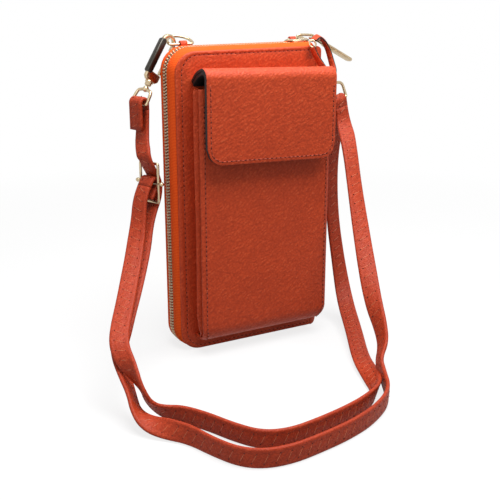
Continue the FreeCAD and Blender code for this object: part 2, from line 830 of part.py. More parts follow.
# Buckle: a wire frame with a centre bar that ends in balls.
buckle_mid = V(*buckle_centre)
buckle_across = unit(V(*bar_left_across))
frame_corners = []
for side, lift in ((1, 1), (1, -1), (-1, -1), (-1, 1)):
    frame_corners.append(buckle_mid + buckle_across * (side * buckle_half) + Z * (lift * buckle_rise))
frame_pieces = []
for start, end in zip(frame_corners, frame_corners[1:] + frame_corners[:1]):
    frame_pieces.append(rod(start, end, buckle_wire))
    frame_pieces.append(Part.makeSphere(buckle_wire, start))
bar_ends = [buckle_mid + buckle_across * buckle_ball_reach, buckle_mid - buckle_across * buckle_ball_reach]
bar_pieces = [rod(bar_ends[0], bar_ends[1], buckle_bar)]
for end in bar_ends:
    bar_pieces.append(Part.makeSphere(buckle_ball, end))
bar_form = joined(bar_pieces)
save("buckle_frame", joined(frame_pieces).cut(bar_form))
save("buckle_bar", bar_form)

# Strap: sewn round the left hook, through the buckle, along the table to the right hook and back.
half_turned = swivel_wire + strap_play + strap * half_share
left_bar, left_across = bars["left"]
left_across = square_to(left_across, Z)
left_face = Z.cross(left_across)
save("strap_hook_end", strap_fold(left_bar, left_across, -Z, swivel_wire, hook_leg, hook_tail))
right_bar, right_across = bars["right"]
right_down = square_to(-Z, right_across)
right_face = right_down.cross(right_across)
save("strap_hook_fold", strap_fold(right_bar, right_across, right_down, swivel_wire, hook_leg, hook_leg))
buckle_turned = buckle_bar + strap_play + strap * half_share
buckle_face = Z.cross(buckle_across)
save("strap_buckle_end", strap_fold(buckle_mid, buckle_across, -Z, buckle_bar, buckle_leg, buckle_tail))

inner_start = left_bar + left_face * half_turned - Z * hook_leg
inner_end = right_bar + right_face * -half_turned + right_down * hook_leg
inner_points = [inner_start, inner_start - Z * strap_lead] + vectors(inner_route)
inner_points = inner_points + [inner_end + right_down * strap_lead, inner_end]
inner_turns = [left_across, left_across] + vectors(inner_across) + [right_across, right_across]
save("strap_inner", band(inner_points, inner_turns, strap_width, strap, strap_step, "strap_inner"))

outer_start = buckle_mid + buckle_face * buckle_turned - Z * buckle_leg
outer_end = right_bar + right_face * half_turned + right_down * hook_leg
outer_points = [outer_start, outer_start - Z * buckle_lead] + vectors(outer_route)
outer_points = outer_points + [outer_end + right_down * strap_lead, outer_end]
outer_turns = [buckle_across, buckle_across] + vectors(outer_across) + [right_across, right_across]
save("strap_outer", band(outer_points, outer_turns, strap_width, strap, strap_step, "strap_outer"))
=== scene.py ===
import math

import bmesh
import bpy
from mathutils import Matrix, Vector


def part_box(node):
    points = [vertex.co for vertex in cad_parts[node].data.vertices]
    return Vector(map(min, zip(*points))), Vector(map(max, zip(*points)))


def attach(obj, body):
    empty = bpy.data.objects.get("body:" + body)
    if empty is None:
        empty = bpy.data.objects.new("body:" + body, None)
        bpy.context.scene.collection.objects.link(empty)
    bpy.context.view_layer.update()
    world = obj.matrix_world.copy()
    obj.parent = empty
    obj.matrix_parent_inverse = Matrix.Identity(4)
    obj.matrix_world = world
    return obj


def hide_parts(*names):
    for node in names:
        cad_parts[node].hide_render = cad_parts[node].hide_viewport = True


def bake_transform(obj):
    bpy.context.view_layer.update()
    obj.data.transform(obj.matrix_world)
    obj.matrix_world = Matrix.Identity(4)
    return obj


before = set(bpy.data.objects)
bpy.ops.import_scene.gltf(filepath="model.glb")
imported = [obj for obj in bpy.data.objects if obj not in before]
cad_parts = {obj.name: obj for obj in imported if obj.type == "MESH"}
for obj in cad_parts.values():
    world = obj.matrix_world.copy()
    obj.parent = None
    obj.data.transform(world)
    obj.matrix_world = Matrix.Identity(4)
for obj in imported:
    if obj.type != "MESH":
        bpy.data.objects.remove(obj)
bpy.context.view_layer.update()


# Camera, floor and light
# The camera stands where the photograph was taken from, left of the pouch and a little above it.
# A pale floor takes a faint shadow under broad studio light. Floor and lamps are measured in metres.
mm = 0.001
camera_spot = Vector((-252.1, -476.9, 231.1)) * mm
camera_yaw = math.radians(28.216)
camera_dip = math.radians(17.835)
focal_pixels = 860
frame_pixels = 500
white = "#FFFFFF"
floor_half = 4.0
shadow_near, shadow_far = 0.16, 0.55
shadow_glow_share = 0.8
room_strength = 0.22
lamp_aim = Vector((0, 0, 0.09))
softboxes = {
    "overhead_softbox": ((0.03, -0.16, 0.66), 0.5, 6.7),
    "left_softbox": ((-0.75, -0.55, 0.5), 0.6, 1.3),
}


def linear(hex_colour):
    """Linear colour from an sRGB hex value."""
    parts = [int(hex_colour[i:i + 2], 16) / 255 for i in (1, 3, 5)]
    return tuple(c / 12.92 if c <= 0.04045 else ((c + 0.055) / 1.055) ** 2.4 for c in parts) + (1,)


def node(tree, kind, inputs=None, **settings):
    """Add a node with its settings, and set or link its inputs."""
    made = tree.nodes.new(kind)
    for name, value in settings.items():
        setattr(made, name, value)
    for name, value in (inputs or {}).items():
        if isinstance(value, bpy.types.NodeSocket):
            tree.links.new(value, made.inputs[name])
        else:
            made.inputs[name].default_value = value
    return made


def blank_material(name):
    """Material with an empty node tree."""
    material = bpy.data.materials.new(name)
    material.use_nodes = True
    material.node_tree.nodes.clear()
    return material, material.node_tree


def put_in_scene(name, data):
    """New object at the origin, linked into the scene."""
    made = bpy.data.objects.new(name, data)
    bpy.context.scene.collection.objects.link(made)
    return made


def backdrop_rays(tree):
    """1 for the rays that should meet plain white: from the camera, mirrored or let through."""
    rays = node(tree, "ShaderNodeLightPath")
    seen = node(tree, "ShaderNodeMath", {0: rays.outputs["Is Camera Ray"], 1: rays.outputs["Is Glossy Ray"]},
                operation="MAXIMUM")
    seen = node(tree, "ShaderNodeMath", {0: seen.outputs[0], 1: rays.outputs["Is Transmission Ray"]},
                operation="MAXIMUM")
    return seen.outputs[0]


camera = put_in_scene("camera", bpy.data.cameras.new("camera"))
camera.data.sensor_width = 36
camera.data.lens = camera.data.sensor_width * focal_pixels / frame_pixels
camera.data.clip_start = 0.01
camera.location = camera_spot
look = Vector((
    math.sin(camera_yaw) * math.cos(camera_dip), math.cos(camera_yaw) * math.cos(camera_dip),
    -math.sin(camera_dip)))
camera.rotation_euler = look.to_track_quat("-Z", "Y").to_euler()
bpy.context.scene.camera = camera
bpy.context.scene.view_settings.view_transform = "Standard"

floor_white, floor_tree = blank_material("pale_floor")
floor_seen = backdrop_rays(floor_tree)
floor_tone = node(floor_tree, "ShaderNodeMix",
                  {"Factor": floor_seen, "A": linear("#8C8C8C"), "B": linear("#F2F2F2")}, data_type="RGBA")
floor_place = node(floor_tree, "ShaderNodeTexCoord")
floor_reach = node(floor_tree, "ShaderNodeVectorMath", {0: floor_place.outputs["Object"]}, operation="LENGTH")
floor_share = node(floor_tree, "ShaderNodeMapRange",
                   {"Value": floor_reach.outputs["Value"], "From Min": shadow_near, "From Max": shadow_far,
                    "To Min": shadow_glow_share, "To Max": 1.0})
floor_part = node(floor_tree, "ShaderNodeMath", {0: floor_seen, 1: floor_share.outputs["Result"]},
                  operation="MULTIPLY")
floor_matt = node(floor_tree, "ShaderNodeBsdfDiffuse", {"Color": floor_tone.outputs["Result"]})
floor_glow = node(floor_tree, "ShaderNodeEmission", {"Color": linear(white), "Strength": 1.0})
floor_mix = node(floor_tree, "ShaderNodeMixShader",
                 {0: floor_part.outputs[0], 1: floor_matt.outputs[0], 2: floor_glow.outputs[0]})
node(floor_tree, "ShaderNodeOutputMaterial", {"Surface": floor_mix.outputs[0]})
floor_mesh = bpy.data.meshes.new("floor")
floor_mesh.from_pydata(
    [(-floor_half, -floor_half, 0), (floor_half, -floor_half, 0), (floor_half, floor_half, 0),
     (-floor_half, floor_half, 0)], [], [(0, 1, 2, 3)])
floor_mesh.materials.append(floor_white)
floor = put_in_scene("floor", floor_mesh)

world = bpy.data.worlds.new("studio")
world.use_nodes = True
world.node_tree.nodes.clear()
room = node(world.node_tree, "ShaderNodeBackground", {"Color": linear(white), "Strength": room_strength})
backdrop = node(world.node_tree, "ShaderNodeBackground", {"Color": linear(white), "Strength": 1.0})
world_mix = node(world.node_tree, "ShaderNodeMixShader",
                 {0: backdrop_rays(world.node_tree), 1: room.outputs[0], 2: backdrop.outputs[0]})
node(world.node_tree, "ShaderNodeOutputWorld", {"Surface": world_mix.outputs[0]})
bpy.context.scene.world = world

for name, (spot, width, power) in softboxes.items():
    lamp = put_in_scene(name, bpy.data.lights.new(name, "AREA"))
    lamp.data.size = width
    lamp.data.energy = power
    lamp.location = spot
    lamp.rotation_euler = (lamp_aim - Vector(spot)).to_track_quat("-Z", "Y").to_euler()


# Covers
# Two panels of pebbled artificial leather over board, with a turned edge and a sewn line inside it.
# Cut from one sheet with the spine, they meet it on the right and the zip tape on the other sides.
leather_red = "#C94821"
# The deep red serves for painted shade in the creases and for random darker blotches; the pale red is a
# painted highlight on the grain's tops.
leather_shade_and_blotch = "#932C13"
leather_highlight = "#DE6E44"
grain_depth = 0.28
blotch_length = 22.22
sway_length, sway_reach = 11.11, 3.0
crease_slant = math.radians(-36)
crease_stretch_share = 3.4
stitch_inset = 2.3
edge_pad_share = 1.75
corner_steps = 8
cover_corner = 13.0
least_corner = 1.0
cover_profile = [
    (1.2, 0.0), (0.35, 0.1), (0.0, 0.45), (0.1, 0.9), (0.5, 1.3), (1.1, 1.48), (1.6, 1.44),
    (2.0, 1.27), (stitch_inset, 1.12), (2.6, 1.27), (3.3, 1.48), (8.0, 1.54),
]


def pebbled_leather(name, base, deep, pale, pebble, crease, roughness):
    """Artificial leather embossed with a pebble grain: satin, with painted shade in the creases, a painted
    highlight on the raised tops and darker blotches at random.
    """
    material, tree = blank_material(name)
    place = node(tree, "ShaderNodeTexCoord")
    pebbles = node(tree, "ShaderNodeTexVoronoi",
                   {"Vector": place.outputs["Object"], "Scale": 1 / (pebble * mm), "Randomness": 1.0},
                   feature="SMOOTH_F1")
    tops = node(tree, "ShaderNodeMapRange",
                {"Value": pebbles.outputs["Distance"], "From Min": 0.7, "From Max": 0.1})
    sway = node(tree, "ShaderNodeTexNoise",
                {"Vector": place.outputs["Object"], "Scale": 1 / (sway_length * mm), "Detail": 1.0})
    swayed = node(tree, "ShaderNodeVectorMath",
                  {0: sway.outputs["Color"], 1: (sway_reach * mm,) * 3, 2: place.outputs["Object"]},
                  operation="MULTIPLY_ADD")
    turned = node(tree, "ShaderNodeMapping",
                  {"Vector": swayed.outputs["Vector"], "Rotation": (0, crease_slant, 0),
                   "Scale": (crease_stretch_share, 1.0, 1.0)}, vector_type="TEXTURE")
    folds = node(tree, "ShaderNodeTexVoronoi",
                 {"Vector": turned.outputs["Vector"], "Scale": 1 / (crease * mm), "Randomness": 1.0},
                 feature="DISTANCE_TO_EDGE")
    creases = node(tree, "ShaderNodeMapRange",
                   {"Value": folds.outputs["Distance"], "From Max": 0.3}, interpolation_type="SMOOTHSTEP")
    blotches = node(tree, "ShaderNodeTexNoise",
                    {"Vector": place.outputs["Object"], "Scale": 1 / (blotch_length * mm), "Detail": 3.0})
    grain = node(tree, "ShaderNodeMath", {0: creases.outputs["Result"], 1: 0.6, 2: tops.outputs["Result"]},
                 operation="MULTIPLY_ADD")
    # Painted shade: the creases and the hollows between pebbles are tinted darker.
    crease_shade_share = node(tree, "ShaderNodeMapRange",
                    {"Value": grain.outputs[0], "From Min": 0.1, "From Max": 1.1, "To Min": 0.45,
                     "To Max": 0.0})
    crease_shaded_tint = node(tree, "ShaderNodeMix",
                {"Factor": crease_shade_share.outputs["Result"], "A": linear(base), "B": linear(deep)},
                data_type="RGBA")
    # Painted highlight: the raised tops of the grain are tinted paler.
    light = node(tree, "ShaderNodeMapRange",
                 {"Value": grain.outputs[0], "From Min": 1.05, "From Max": 1.6, "To Max": 0.4})
    highlighted_tint = node(tree, "ShaderNodeMix",
                {"Factor": light.outputs["Result"], "A": crease_shaded_tint.outputs["Result"], "B": linear(pale)},
                data_type="RGBA")
    # Random darker blotches: the leather's own uneven tone.
    shade = node(tree, "ShaderNodeMapRange",
                 {"Value": blotches.outputs["Fac"], "From Min": 0.35, "From Max": 0.7, "To Max": 0.16})
    colour = node(tree, "ShaderNodeMix",
                  {"Factor": shade.outputs["Result"], "A": highlighted_tint.outputs["Result"], "B": linear(deep)},
                  data_type="RGBA")
    rough = node(tree, "ShaderNodeMapRange",
                 {"Value": tops.outputs["Result"], "To Min": roughness + 0.15, "To Max": roughness})
    bump = node(tree, "ShaderNodeBump",
                {"Height": grain.outputs[0], "Strength": 0.45, "Distance": grain_depth * mm})
    skin = node(tree, "ShaderNodeBsdfPrincipled",
                {"Base Color": colour.outputs["Result"], "Roughness": rough.outputs["Result"],
                 "Normal": bump.outputs["Normal"], "IOR": 1.45, "Specular IOR Level": 0.35})
    node(tree, "ShaderNodeOutputMaterial", {"Surface": skin.outputs[0]})
    return material


panel_leather = pebbled_leather("pebbled_leather", leather_red, leather_shade_and_blotch, leather_highlight,
                                pebble=1.3, crease=2.1, roughness=0.48)


def smooth_piece(name, mesh):
    """Object for a mesh, with smooth shading."""
    mesh.polygons.foreach_set("use_smooth", [True] * len(mesh.polygons))
    return put_in_scene(name, mesh)


def make_piece(name, points, faces, materials, face_materials=None, bevel=0.0):
    """Smooth piece from points in millimetres, with its faces turned outwards."""
    mesh = bpy.data.meshes.new(name)
    mesh.from_pydata([Vector(p) * mm for p in points], [], faces)
    for material in materials:
        mesh.materials.append(material)
    if face_materials:
        mesh.polygons.foreach_set("material_index", face_materials)
    form = bmesh.new()
    form.from_mesh(mesh)
    bmesh.ops.recalc_face_normals(form, faces=form.faces)
    form.to_mesh(mesh)
    form.free()
    piece = smooth_piece(name, mesh)
    if bevel:
        rounding = piece.modifiers.new("rounded_edges", "BEVEL")
        rounding.width = bevel * mm
        rounding.segments = 2
        rounding.limit_method = "ANGLE"
        rounding.angle_limit = math.radians(42)
    return piece


def finish_piece(piece, body, slot, *nodes):
    """Fix a piece to its body and hide the solids that it stands for."""
    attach(piece, body)
    if nodes:
        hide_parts(*nodes)


def box_mm(node_name):
    """Box of a solid in millimetres: low x, y and z, then high x, y and z."""
    low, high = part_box(node_name)
    return [c / mm for c in (*low, *high)]


def spread(start, end, steps):
    """Evenly spaced values from start to end."""
    return [start + (end - start) * i / steps for i in range(steps + 1)]


def corner_arc(x, z, radius, start, steps=corner_steps):
    """Quarter circle of points from a start angle in degrees, turning anticlockwise seen from the front."""
    turns = [math.radians(start + 90 * i / steps) for i in range(steps + 1)]
    return [(x + radius * math.cos(t), z + radius * math.sin(t)) for t in turns]


def c_outline(left, right, low, high, low_round, high_round, straight=6):
    """Open outline of a cover, from its lower right end round the left side to its upper right end."""
    upper = corner_arc(left + high_round, high - high_round, high_round, 90)
    lower = corner_arc(left + low_round, low + low_round, low_round, 180)
    upper.reverse()
    lower.reverse()
    path = [(x, low) for x in spread(right, lower[0][0], straight)[:-1]]
    path += lower
    path += [(left, z) for z in spread(lower[-1][1], upper[0][1], 2 * straight)[1:-1]]
    path += upper
    path += [(x, high) for x in spread(upper[-1][0], right, straight)[1:]]
    return path


def cover_ring(edges, inset, y):
    """One ring of a cover at an inset from its sewn sides."""
    left, right, low, high = edges
    corner = max(cover_corner - inset, least_corner)
    path = c_outline(left + inset * edge_pad_share, right, low + inset, high - inset, corner, corner)
    return [(x, y, z) for x, z in path]


def ring_faces(count, size):
    """Faces between closed rings of points, then a cap at each end."""
    faces = []
    for r in range(count - 1):
        for i in range(size):
            j = (i + 1) % size
            faces.append((r * size + i, r * size + j, (r + 1) * size + j, (r + 1) * size + i))
    return faces + [tuple(range(size)), tuple(range((count - 1) * size, count * size))]


def flatten_caps(piece):
    """Flat shading on the two end caps, which are the last faces."""
    for cap in piece.data.polygons[-2:]:
        cap.use_smooth = False


def lofted_panel(name, rings, materials):
    """Closed panel through rings of equal length, capped at both ends."""
    points = [p for ring in rings for p in ring]
    panel = make_piece(name, points, ring_faces(len(rings), len(rings[0])), materials)
    flatten_caps(panel)
    return panel


cover_left, cover_face, cover_low, cover_right, cover_back, cover_high = box_mm("cover_front")
cover_edges = (cover_left, cover_right, cover_low, cover_high)
half_depth = -cover_face
cover_in = -cover_back
for side, name in ((-1, "front"), (1, "back")):
    rings = [cover_ring(cover_edges, inset, side * (cover_in + out)) for inset, out in cover_profile]
    panel = lofted_panel("cover_leather_" + name, rings, [panel_leather])
    finish_piece(panel, name + "_half", "leather", "cover_" + name)


# Spine
# The same leather bent round the closed side, from the front crease to the back cover.
# Two small folded end pieces close it off beside the ends of the zip.
spine_round = 7.0
spine_out, spine_in = -0.05, 1.35
crease_x = 44.5
spine_columns = 28
spine_rows = 24
spine_z = box_mm("spine")[5]
end_rows = 10
end_columns = 8
end_start = 8.0
end_length = 14.5
end_level = 3.4
end_clear = 0.7
end_lip = 4.0
end_gap = 1.0
end_narrow, end_shoulder = 1.8, 2.5
end_wall = 1.0
end_arch = 0.9
top_end_arch = {7: 4.3, 8: 3.3, 9: 1.8}


def shell_piece(name, outer, inner, materials, bevel=0.35):
    """Closed shell between two grids of points. Materials: outer face, inner face, rim."""
    rows, columns = len(outer), len(outer[0])
    points = [p for grid in (outer, inner) for row in grid for p in row]
    off = rows * columns
    faces, kinds = [], []
    for r in range(rows - 1):
        for c in range(columns - 1):
            a, b = r * columns + c, r * columns + c + 1
            quad = (a, b, b + columns, a + columns)
            faces.append(quad)
            kinds.append(0)
            faces.append(tuple(off + i for i in reversed(quad)))
            kinds.append(min(1, len(materials) - 1))
    rim = list(range(columns)) + [r * columns + columns - 1 for r in range(1, rows)]
    rim += [(rows - 1) * columns + c for c in range(columns - 2, -1, -1)]
    rim += [r * columns for r in range(rows - 2, 0, -1)]
    for i, a in enumerate(rim):
        b = rim[(i + 1) % len(rim)]
        faces.append((b, a, off + a, off + b))
        kinds.append(len(materials) - 1)
    return make_piece(name, points, faces, materials, kinds, bevel)


def spine_point(turn, inset):
    """Place on the spine's outline: turn 0 at the front crease, 1 at the back."""
    radius = spine_round - inset
    flat = half_depth - spine_round
    bend = math.pi / 2 * spine_round
    gone = turn * (2 * bend + 2 * flat)
    if gone < bend:
        angle = gone / spine_round
        return crease_x + radius * math.sin(angle), -flat - radius * math.cos(angle)
    if gone < bend + 2 * flat:
        return crease_x + radius, -flat + gone - bend
    angle = (gone - bend - 2 * flat) / spine_round
    return crease_x + radius * math.cos(angle), flat + radius * math.sin(angle)


def spine_grid(inset):
    """Points of one face of the spine, in rows from its foot to its top, with rounded ends."""
    rows = []
    for r in range(spine_rows + 1):
        row = []
        for c in range(spine_columns + 1):
            x, y = spine_point(c / spine_columns, inset)
            drop = spine_round - math.sqrt(max(spine_round ** 2 - max(x + inset - crease_x, 0) ** 2, 0))
            row.append((x, y, drop + (spine_z - 2 * drop) * r / spine_rows))
        rows.append(row)
    return rows


spine = shell_piece("spine_leather", spine_grid(spine_out), spine_grid(spine_in), [panel_leather])
finish_piece(spine, "back_half", "leather", "spine")
for name, edge, lift in (("top", spine_z, -1), ("foot", 0.0, 1)):
    outer, inner = [], []
    for r in range(end_rows + 2):
        x = crease_x - end_start + end_length * min(r, end_rows) / end_rows
        bow = math.sqrt(spine_round ** 2 - max(x - crease_x, 0) ** 2)
        level = edge + lift * (max(end_level, spine_round - bow + end_clear) + end_lip * (r > end_rows))
        reach = half_depth - spine_round + bow - end_gap - end_narrow * (x < crease_x - end_shoulder)
        ys = spread(-reach, reach, end_columns)
        bulge = top_end_arch.get(r, end_arch) if lift < 0 else end_arch
        zs = [level - bulge * (1 - (y / reach) ** 2) * lift for y in ys]
        outer.append([(x, y, z) for y, z in zip(ys, zs)])
        inner.append([(x - end_wall * (r >= end_rows), y, z + end_wall * lift) for y, z in zip(ys, zs)])
    finish_piece(shell_piece("spine_end_" + name, outer, inner, [panel_leather]), "back_half", "leather")


# Zip tape
# Bright woven polyester tape sewn under the covers' edges, rising to the teeth in the middle of the side.
# A fine rib runs across its weave.
tape_seam = 0.6
tape_rise = 1.2
tape_floor = 0.9
tape_thick = 0.8
tape_end = 44.0
tape_straight = 14
tape_profile = [(-tape_seam, cover_in, 0.0), (0.6, 8.8, 0.4), (1.5, 7.2, 0.8), (2.0, 5.6, 1.0),
                (2.1, 4.3, 1.0), (1.8, 2.9, 1.0), (1.4, 1.3, 1.0)]
tape_rib = 0.9
tape_fuzz = 0.3846
# A wave texture of scale 1 draws about this many bands per unit.
wave_bands = 3.2


def two_tone(tree, pattern, low, high, shader, relief=0.0, depth=0.0):
    """Surface whose colour, and relief of a depth in millimetres if it has any, follow a pattern."""
    tone = node(tree, "ShaderNodeMix", {"Factor": pattern, "A": linear(low), "B": linear(high)},
                data_type="RGBA")
    shader = {"Base Color": tone.outputs["Result"], **shader}
    if relief:
        bump = node(tree, "ShaderNodeBump", {"Height": pattern, "Strength": relief, "Distance": depth * mm})
        shader["Normal"] = bump.outputs["Normal"]
    surface = node(tree, "ShaderNodeBsdfPrincipled", shader)
    node(tree, "ShaderNodeOutputMaterial", {"Surface": surface.outputs[0]})


def woven_tape(name, base, deep):
    """Woven polyester tape: matt, with ribs across it that are drawn coarser than real so that they show."""
    material, tree = blank_material(name)
    place = node(tree, "ShaderNodeTexCoord")
    ribs = node(tree, "ShaderNodeTexWave",
                {"Vector": place.outputs["Object"], "Scale": 1 / (tape_rib * mm) / wave_bands,
                 "Distortion": 1.2, "Detail": 1.0}, bands_direction="DIAGONAL")
    fuzz = node(tree, "ShaderNodeTexNoise",
                {"Vector": place.outputs["Object"], "Scale": 1 / (tape_fuzz * mm), "Detail": 2.0})
    mixed = node(tree, "ShaderNodeMath", {0: ribs.outputs["Fac"], 1: fuzz.outputs["Fac"]},
                 operation="MULTIPLY")
    two_tone(tree, mixed.outputs[0], deep, base, {"Roughness": 0.82, "Specular IOR Level": 0.2},
             relief=0.4, depth=0.15)
    return material


tape_orange = woven_tape("woven_tape", "#FF6E24", "#F05014")


def tape_ring(rise, y, share, inset):
    """Line along the tape at one place of its profile."""
    floor_level = tape_seam + (tape_floor - tape_seam) * share + inset
    low_round = cover_corner - inset - tape_seam * (1 - share)
    path = c_outline(cover_left - rise + inset, tape_end, floor_level, cover_high + rise - inset, low_round,
                     low_round + tape_rise * share, tape_straight)
    return [(x, y, z) for x, z in path]


for side, name in ((-1, "front"), (1, "back")):
    outer = [tape_ring(rise, side * y, share, 0) for rise, y, share in tape_profile]
    inner = [tape_ring(rise, side * y, share, tape_thick) for rise, y, share in tape_profile]
    tape = shell_piece("tape_" + name, outer, inner, [tape_orange], bevel=0.2)
    finish_piece(tape, name + "_half", "zip_tape", "zip_tape_" + name)


# Zip teeth
# Bronze teeth clamped on the two tapes, alternating from side to side and leaning along the zip.
# Each is a short bar with a round nose.
tooth_pitch = 1.9
tooth_lean = math.radians(24)
tooth_size = (1.05, 1.7, 2.3)
tooth_nose = 0.72
tooth_out = 1.75
first_tooth = 0.5
chain_end = 31.0
chain_out, chain_lift, chain_rise = 1.0, 0.3, 0.9
chain_corner = 0.6
chain_straight = 20


def worn_metal(name, base, deep, roughness, scratch):
    """Plated metal: polished, with faint cloudy wear that dulls it in places."""
    material, tree = blank_material(name)
    place = node(tree, "ShaderNodeTexCoord")
    wear = node(tree, "ShaderNodeTexNoise",
                {"Vector": place.outputs["Object"], "Scale": 1 / (scratch * mm), "Detail": 6.0,
                 "Roughness": 0.6})
    rough = node(tree, "ShaderNodeMapRange",
                 {"Value": wear.outputs["Fac"], "From Min": 0.3, "From Max": 0.75, "To Min": roughness,
                  "To Max": roughness + 0.16})
    two_tone(tree, wear.outputs["Fac"], base, deep, {"Metallic": 1.0, "Roughness": rough.outputs["Result"]},
             relief=0.06, depth=0.05)
    return material


tooth_bronze = worn_metal("scuffed_bronze", "#BFA486", "#75604A", roughness=0.34, scratch=1.2)


def metres(*sizes):
    """Sizes in millimetres turned to metres."""
    return tuple(size * mm for size in sizes)


def flow_at(path, i):
    """Direction of a flat path at one of its points."""
    before, after = path[max(i - 1, 0)], path[min(i + 1, len(path) - 1)]
    return Vector((after[0] - before[0], after[1] - before[1])).normalized()


def even_marks(path, ups, pitch, start=0.0):
    """Places at an even pitch along a path, each with its direction and its outward side."""
    marks = []
    gone, due = 0.0, start
    for i in range(len(path) - 1):
        a, b = Vector(path[i]), Vector(path[i + 1])
        run = (b - a).length
        while run > 0 and due <= gone + run:
            share = (due - gone) / run
            up = Vector(ups[i]).lerp(Vector(ups[i + 1]), share).normalized()
            marks.append((a.lerp(b, share), (b - a).normalized(), up))
            due += pitch
        gone += run
    return marks


def plain_mesh(holder):
    """Plain mesh of an object as its modifiers or curve make it. The object is then removed."""
    bpy.context.view_layer.update()
    mesh = bpy.data.meshes.new_from_object(holder.evaluated_get(bpy.context.evaluated_depsgraph_get()))
    bpy.data.objects.remove(holder)
    return mesh


def repeat_tree(name, sockets):
    """Empty geometry tree with named size inputs, and the turn of each mark."""
    tree = bpy.data.node_groups.new(name, "GeometryNodeTree")
    tree.interface.new_socket("Geometry", in_out="INPUT", socket_type="NodeSocketGeometry")
    for socket, kind in sockets:
        tree.interface.new_socket(socket, in_out="INPUT", socket_type=kind)
    tree.interface.new_socket("Geometry", in_out="OUTPUT", socket_type="NodeSocketGeometry")
    start = tree.nodes.new("NodeGroupInput")
    end = tree.nodes.new("NodeGroupOutput")
    along = node(tree, "GeometryNodeInputNamedAttribute", {"Name": "along"}, data_type="FLOAT_VECTOR")
    up = node(tree, "GeometryNodeInputNamedAttribute", {"Name": "up"}, data_type="FLOAT_VECTOR")
    turn = node(tree, "FunctionNodeAxesToRotation",
                {"Primary Axis": up.outputs["Attribute"], "Secondary Axis": along.outputs["Attribute"]},
                primary_axis="Z", secondary_axis="X")
    return tree, start, end, turn, along


def leaning(tree, turn, angle):
    """Turn of each mark, turned further about its outward side."""
    lean = node(tree, "FunctionNodeAxisAngleToRotation", {"Axis": (0, 0, 1), "Angle": angle})
    return node(tree, "FunctionNodeRotateRotation",
                {"Rotation": turn.outputs[0], "Rotate By": lean.outputs[0]}, rotation_space="LOCAL")


def set_out(tree, copies, material):
    """Copies of a shape on the marks, made real and given their material."""
    copies = node(tree, "GeometryNodeInstanceOnPoints", copies)
    copies = node(tree, "GeometryNodeRealizeInstances", {"Geometry": copies.outputs[0]})
    return node(tree, "GeometryNodeSetMaterial", {"Geometry": copies.outputs[0], "Material": material})


def grown(name, marks, tree, values):
    """Plain mesh piece that a geometry tree grows on marks, which carry a direction and an outward side."""
    mesh = bpy.data.meshes.new(name + "_marks")
    mesh.from_pydata([place * mm for place, along, up in marks], [], [])
    for key, index in (("along", 1), ("up", 2)):
        attribute = mesh.attributes.new(key, "FLOAT_VECTOR", "POINT")
        attribute.data.foreach_set("vector", [c for mark in marks for c in mark[index]])
    holder = put_in_scene(name + "_marks", mesh)
    grow = holder.modifiers.new("grow", "NODES")
    grow.node_group = tree
    for socket in tree.interface.items_tree:
        if socket.in_out == "INPUT" and socket.name in values:
            grow[socket.identifier] = values[socket.name]
    return smooth_piece(name, plain_mesh(holder))


def coat_solid(node_name, material):
    """Give its material to a solid that is shown as it is."""
    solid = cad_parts[node_name]
    solid.data.materials.clear()
    solid.data.materials.append(material)


tooth_tree, start, end, turn, along = repeat_tree(
    "zip_tooth", [("Size", "NodeSocketVector"), ("Nose", "NodeSocketFloat"), ("Lean", "NodeSocketFloat"),
                  ("Metal", "NodeSocketMaterial")])
bar = node(tooth_tree, "GeometryNodeMeshCube", {"Size": start.outputs["Size"]})
nose = node(tooth_tree, "GeometryNodeMeshIcoSphere", {"Radius": start.outputs["Nose"], "Subdivisions": 1})
reach = node(tooth_tree, "ShaderNodeVectorMath", {0: start.outputs["Size"], 1: (0.0, 0.5, 0.0)},
             operation="MULTIPLY")
nose = node(tooth_tree, "GeometryNodeTransform",
            {"Geometry": nose.outputs["Mesh"], "Translation": reach.outputs[0]})
tooth = node(tooth_tree, "GeometryNodeJoinGeometry")
tooth_tree.links.new(bar.outputs["Mesh"], tooth.inputs[0])
tooth_tree.links.new(nose.outputs["Geometry"], tooth.inputs[0])
turn = leaning(tooth_tree, turn, start.outputs["Lean"])
teeth = set_out(tooth_tree, {"Points": start.outputs["Geometry"], "Instance": tooth.outputs[0],
                             "Rotation": turn.outputs[0]}, start.outputs["Metal"])
tooth_tree.links.new(teeth.outputs[0], end.inputs[0])

chain_path = c_outline(cover_left - chain_out, chain_end, tape_floor + chain_lift, cover_high + chain_rise,
                       cover_corner, cover_corner + chain_corner, chain_straight)
chain_flows = [flow_at(chain_path, i) for i in range(len(chain_path))]
chain_up = [Vector((flow.x, 0, flow.y)).cross(Vector((0, 1, 0))) for flow in chain_flows]
for side, name, shift in ((-1, "front", 0.0), (1, "back", tooth_pitch / 2)):
    line = [(x, side * tooth_out, z) for x, z in chain_path]
    marks = even_marks(line, chain_up, tooth_pitch, shift + first_tooth)
    row = grown("zip_teeth_" + name, marks, tooth_tree,
                {"Size": metres(*tooth_size), "Nose": tooth_nose * mm, "Lean": -side * tooth_lean,
                 "Metal": tooth_bronze})
    finish_piece(row, name + "_half", "zip_metal", "zip_chain_" + name)
    coat_solid("zip_stop_" + name, tooth_bronze)


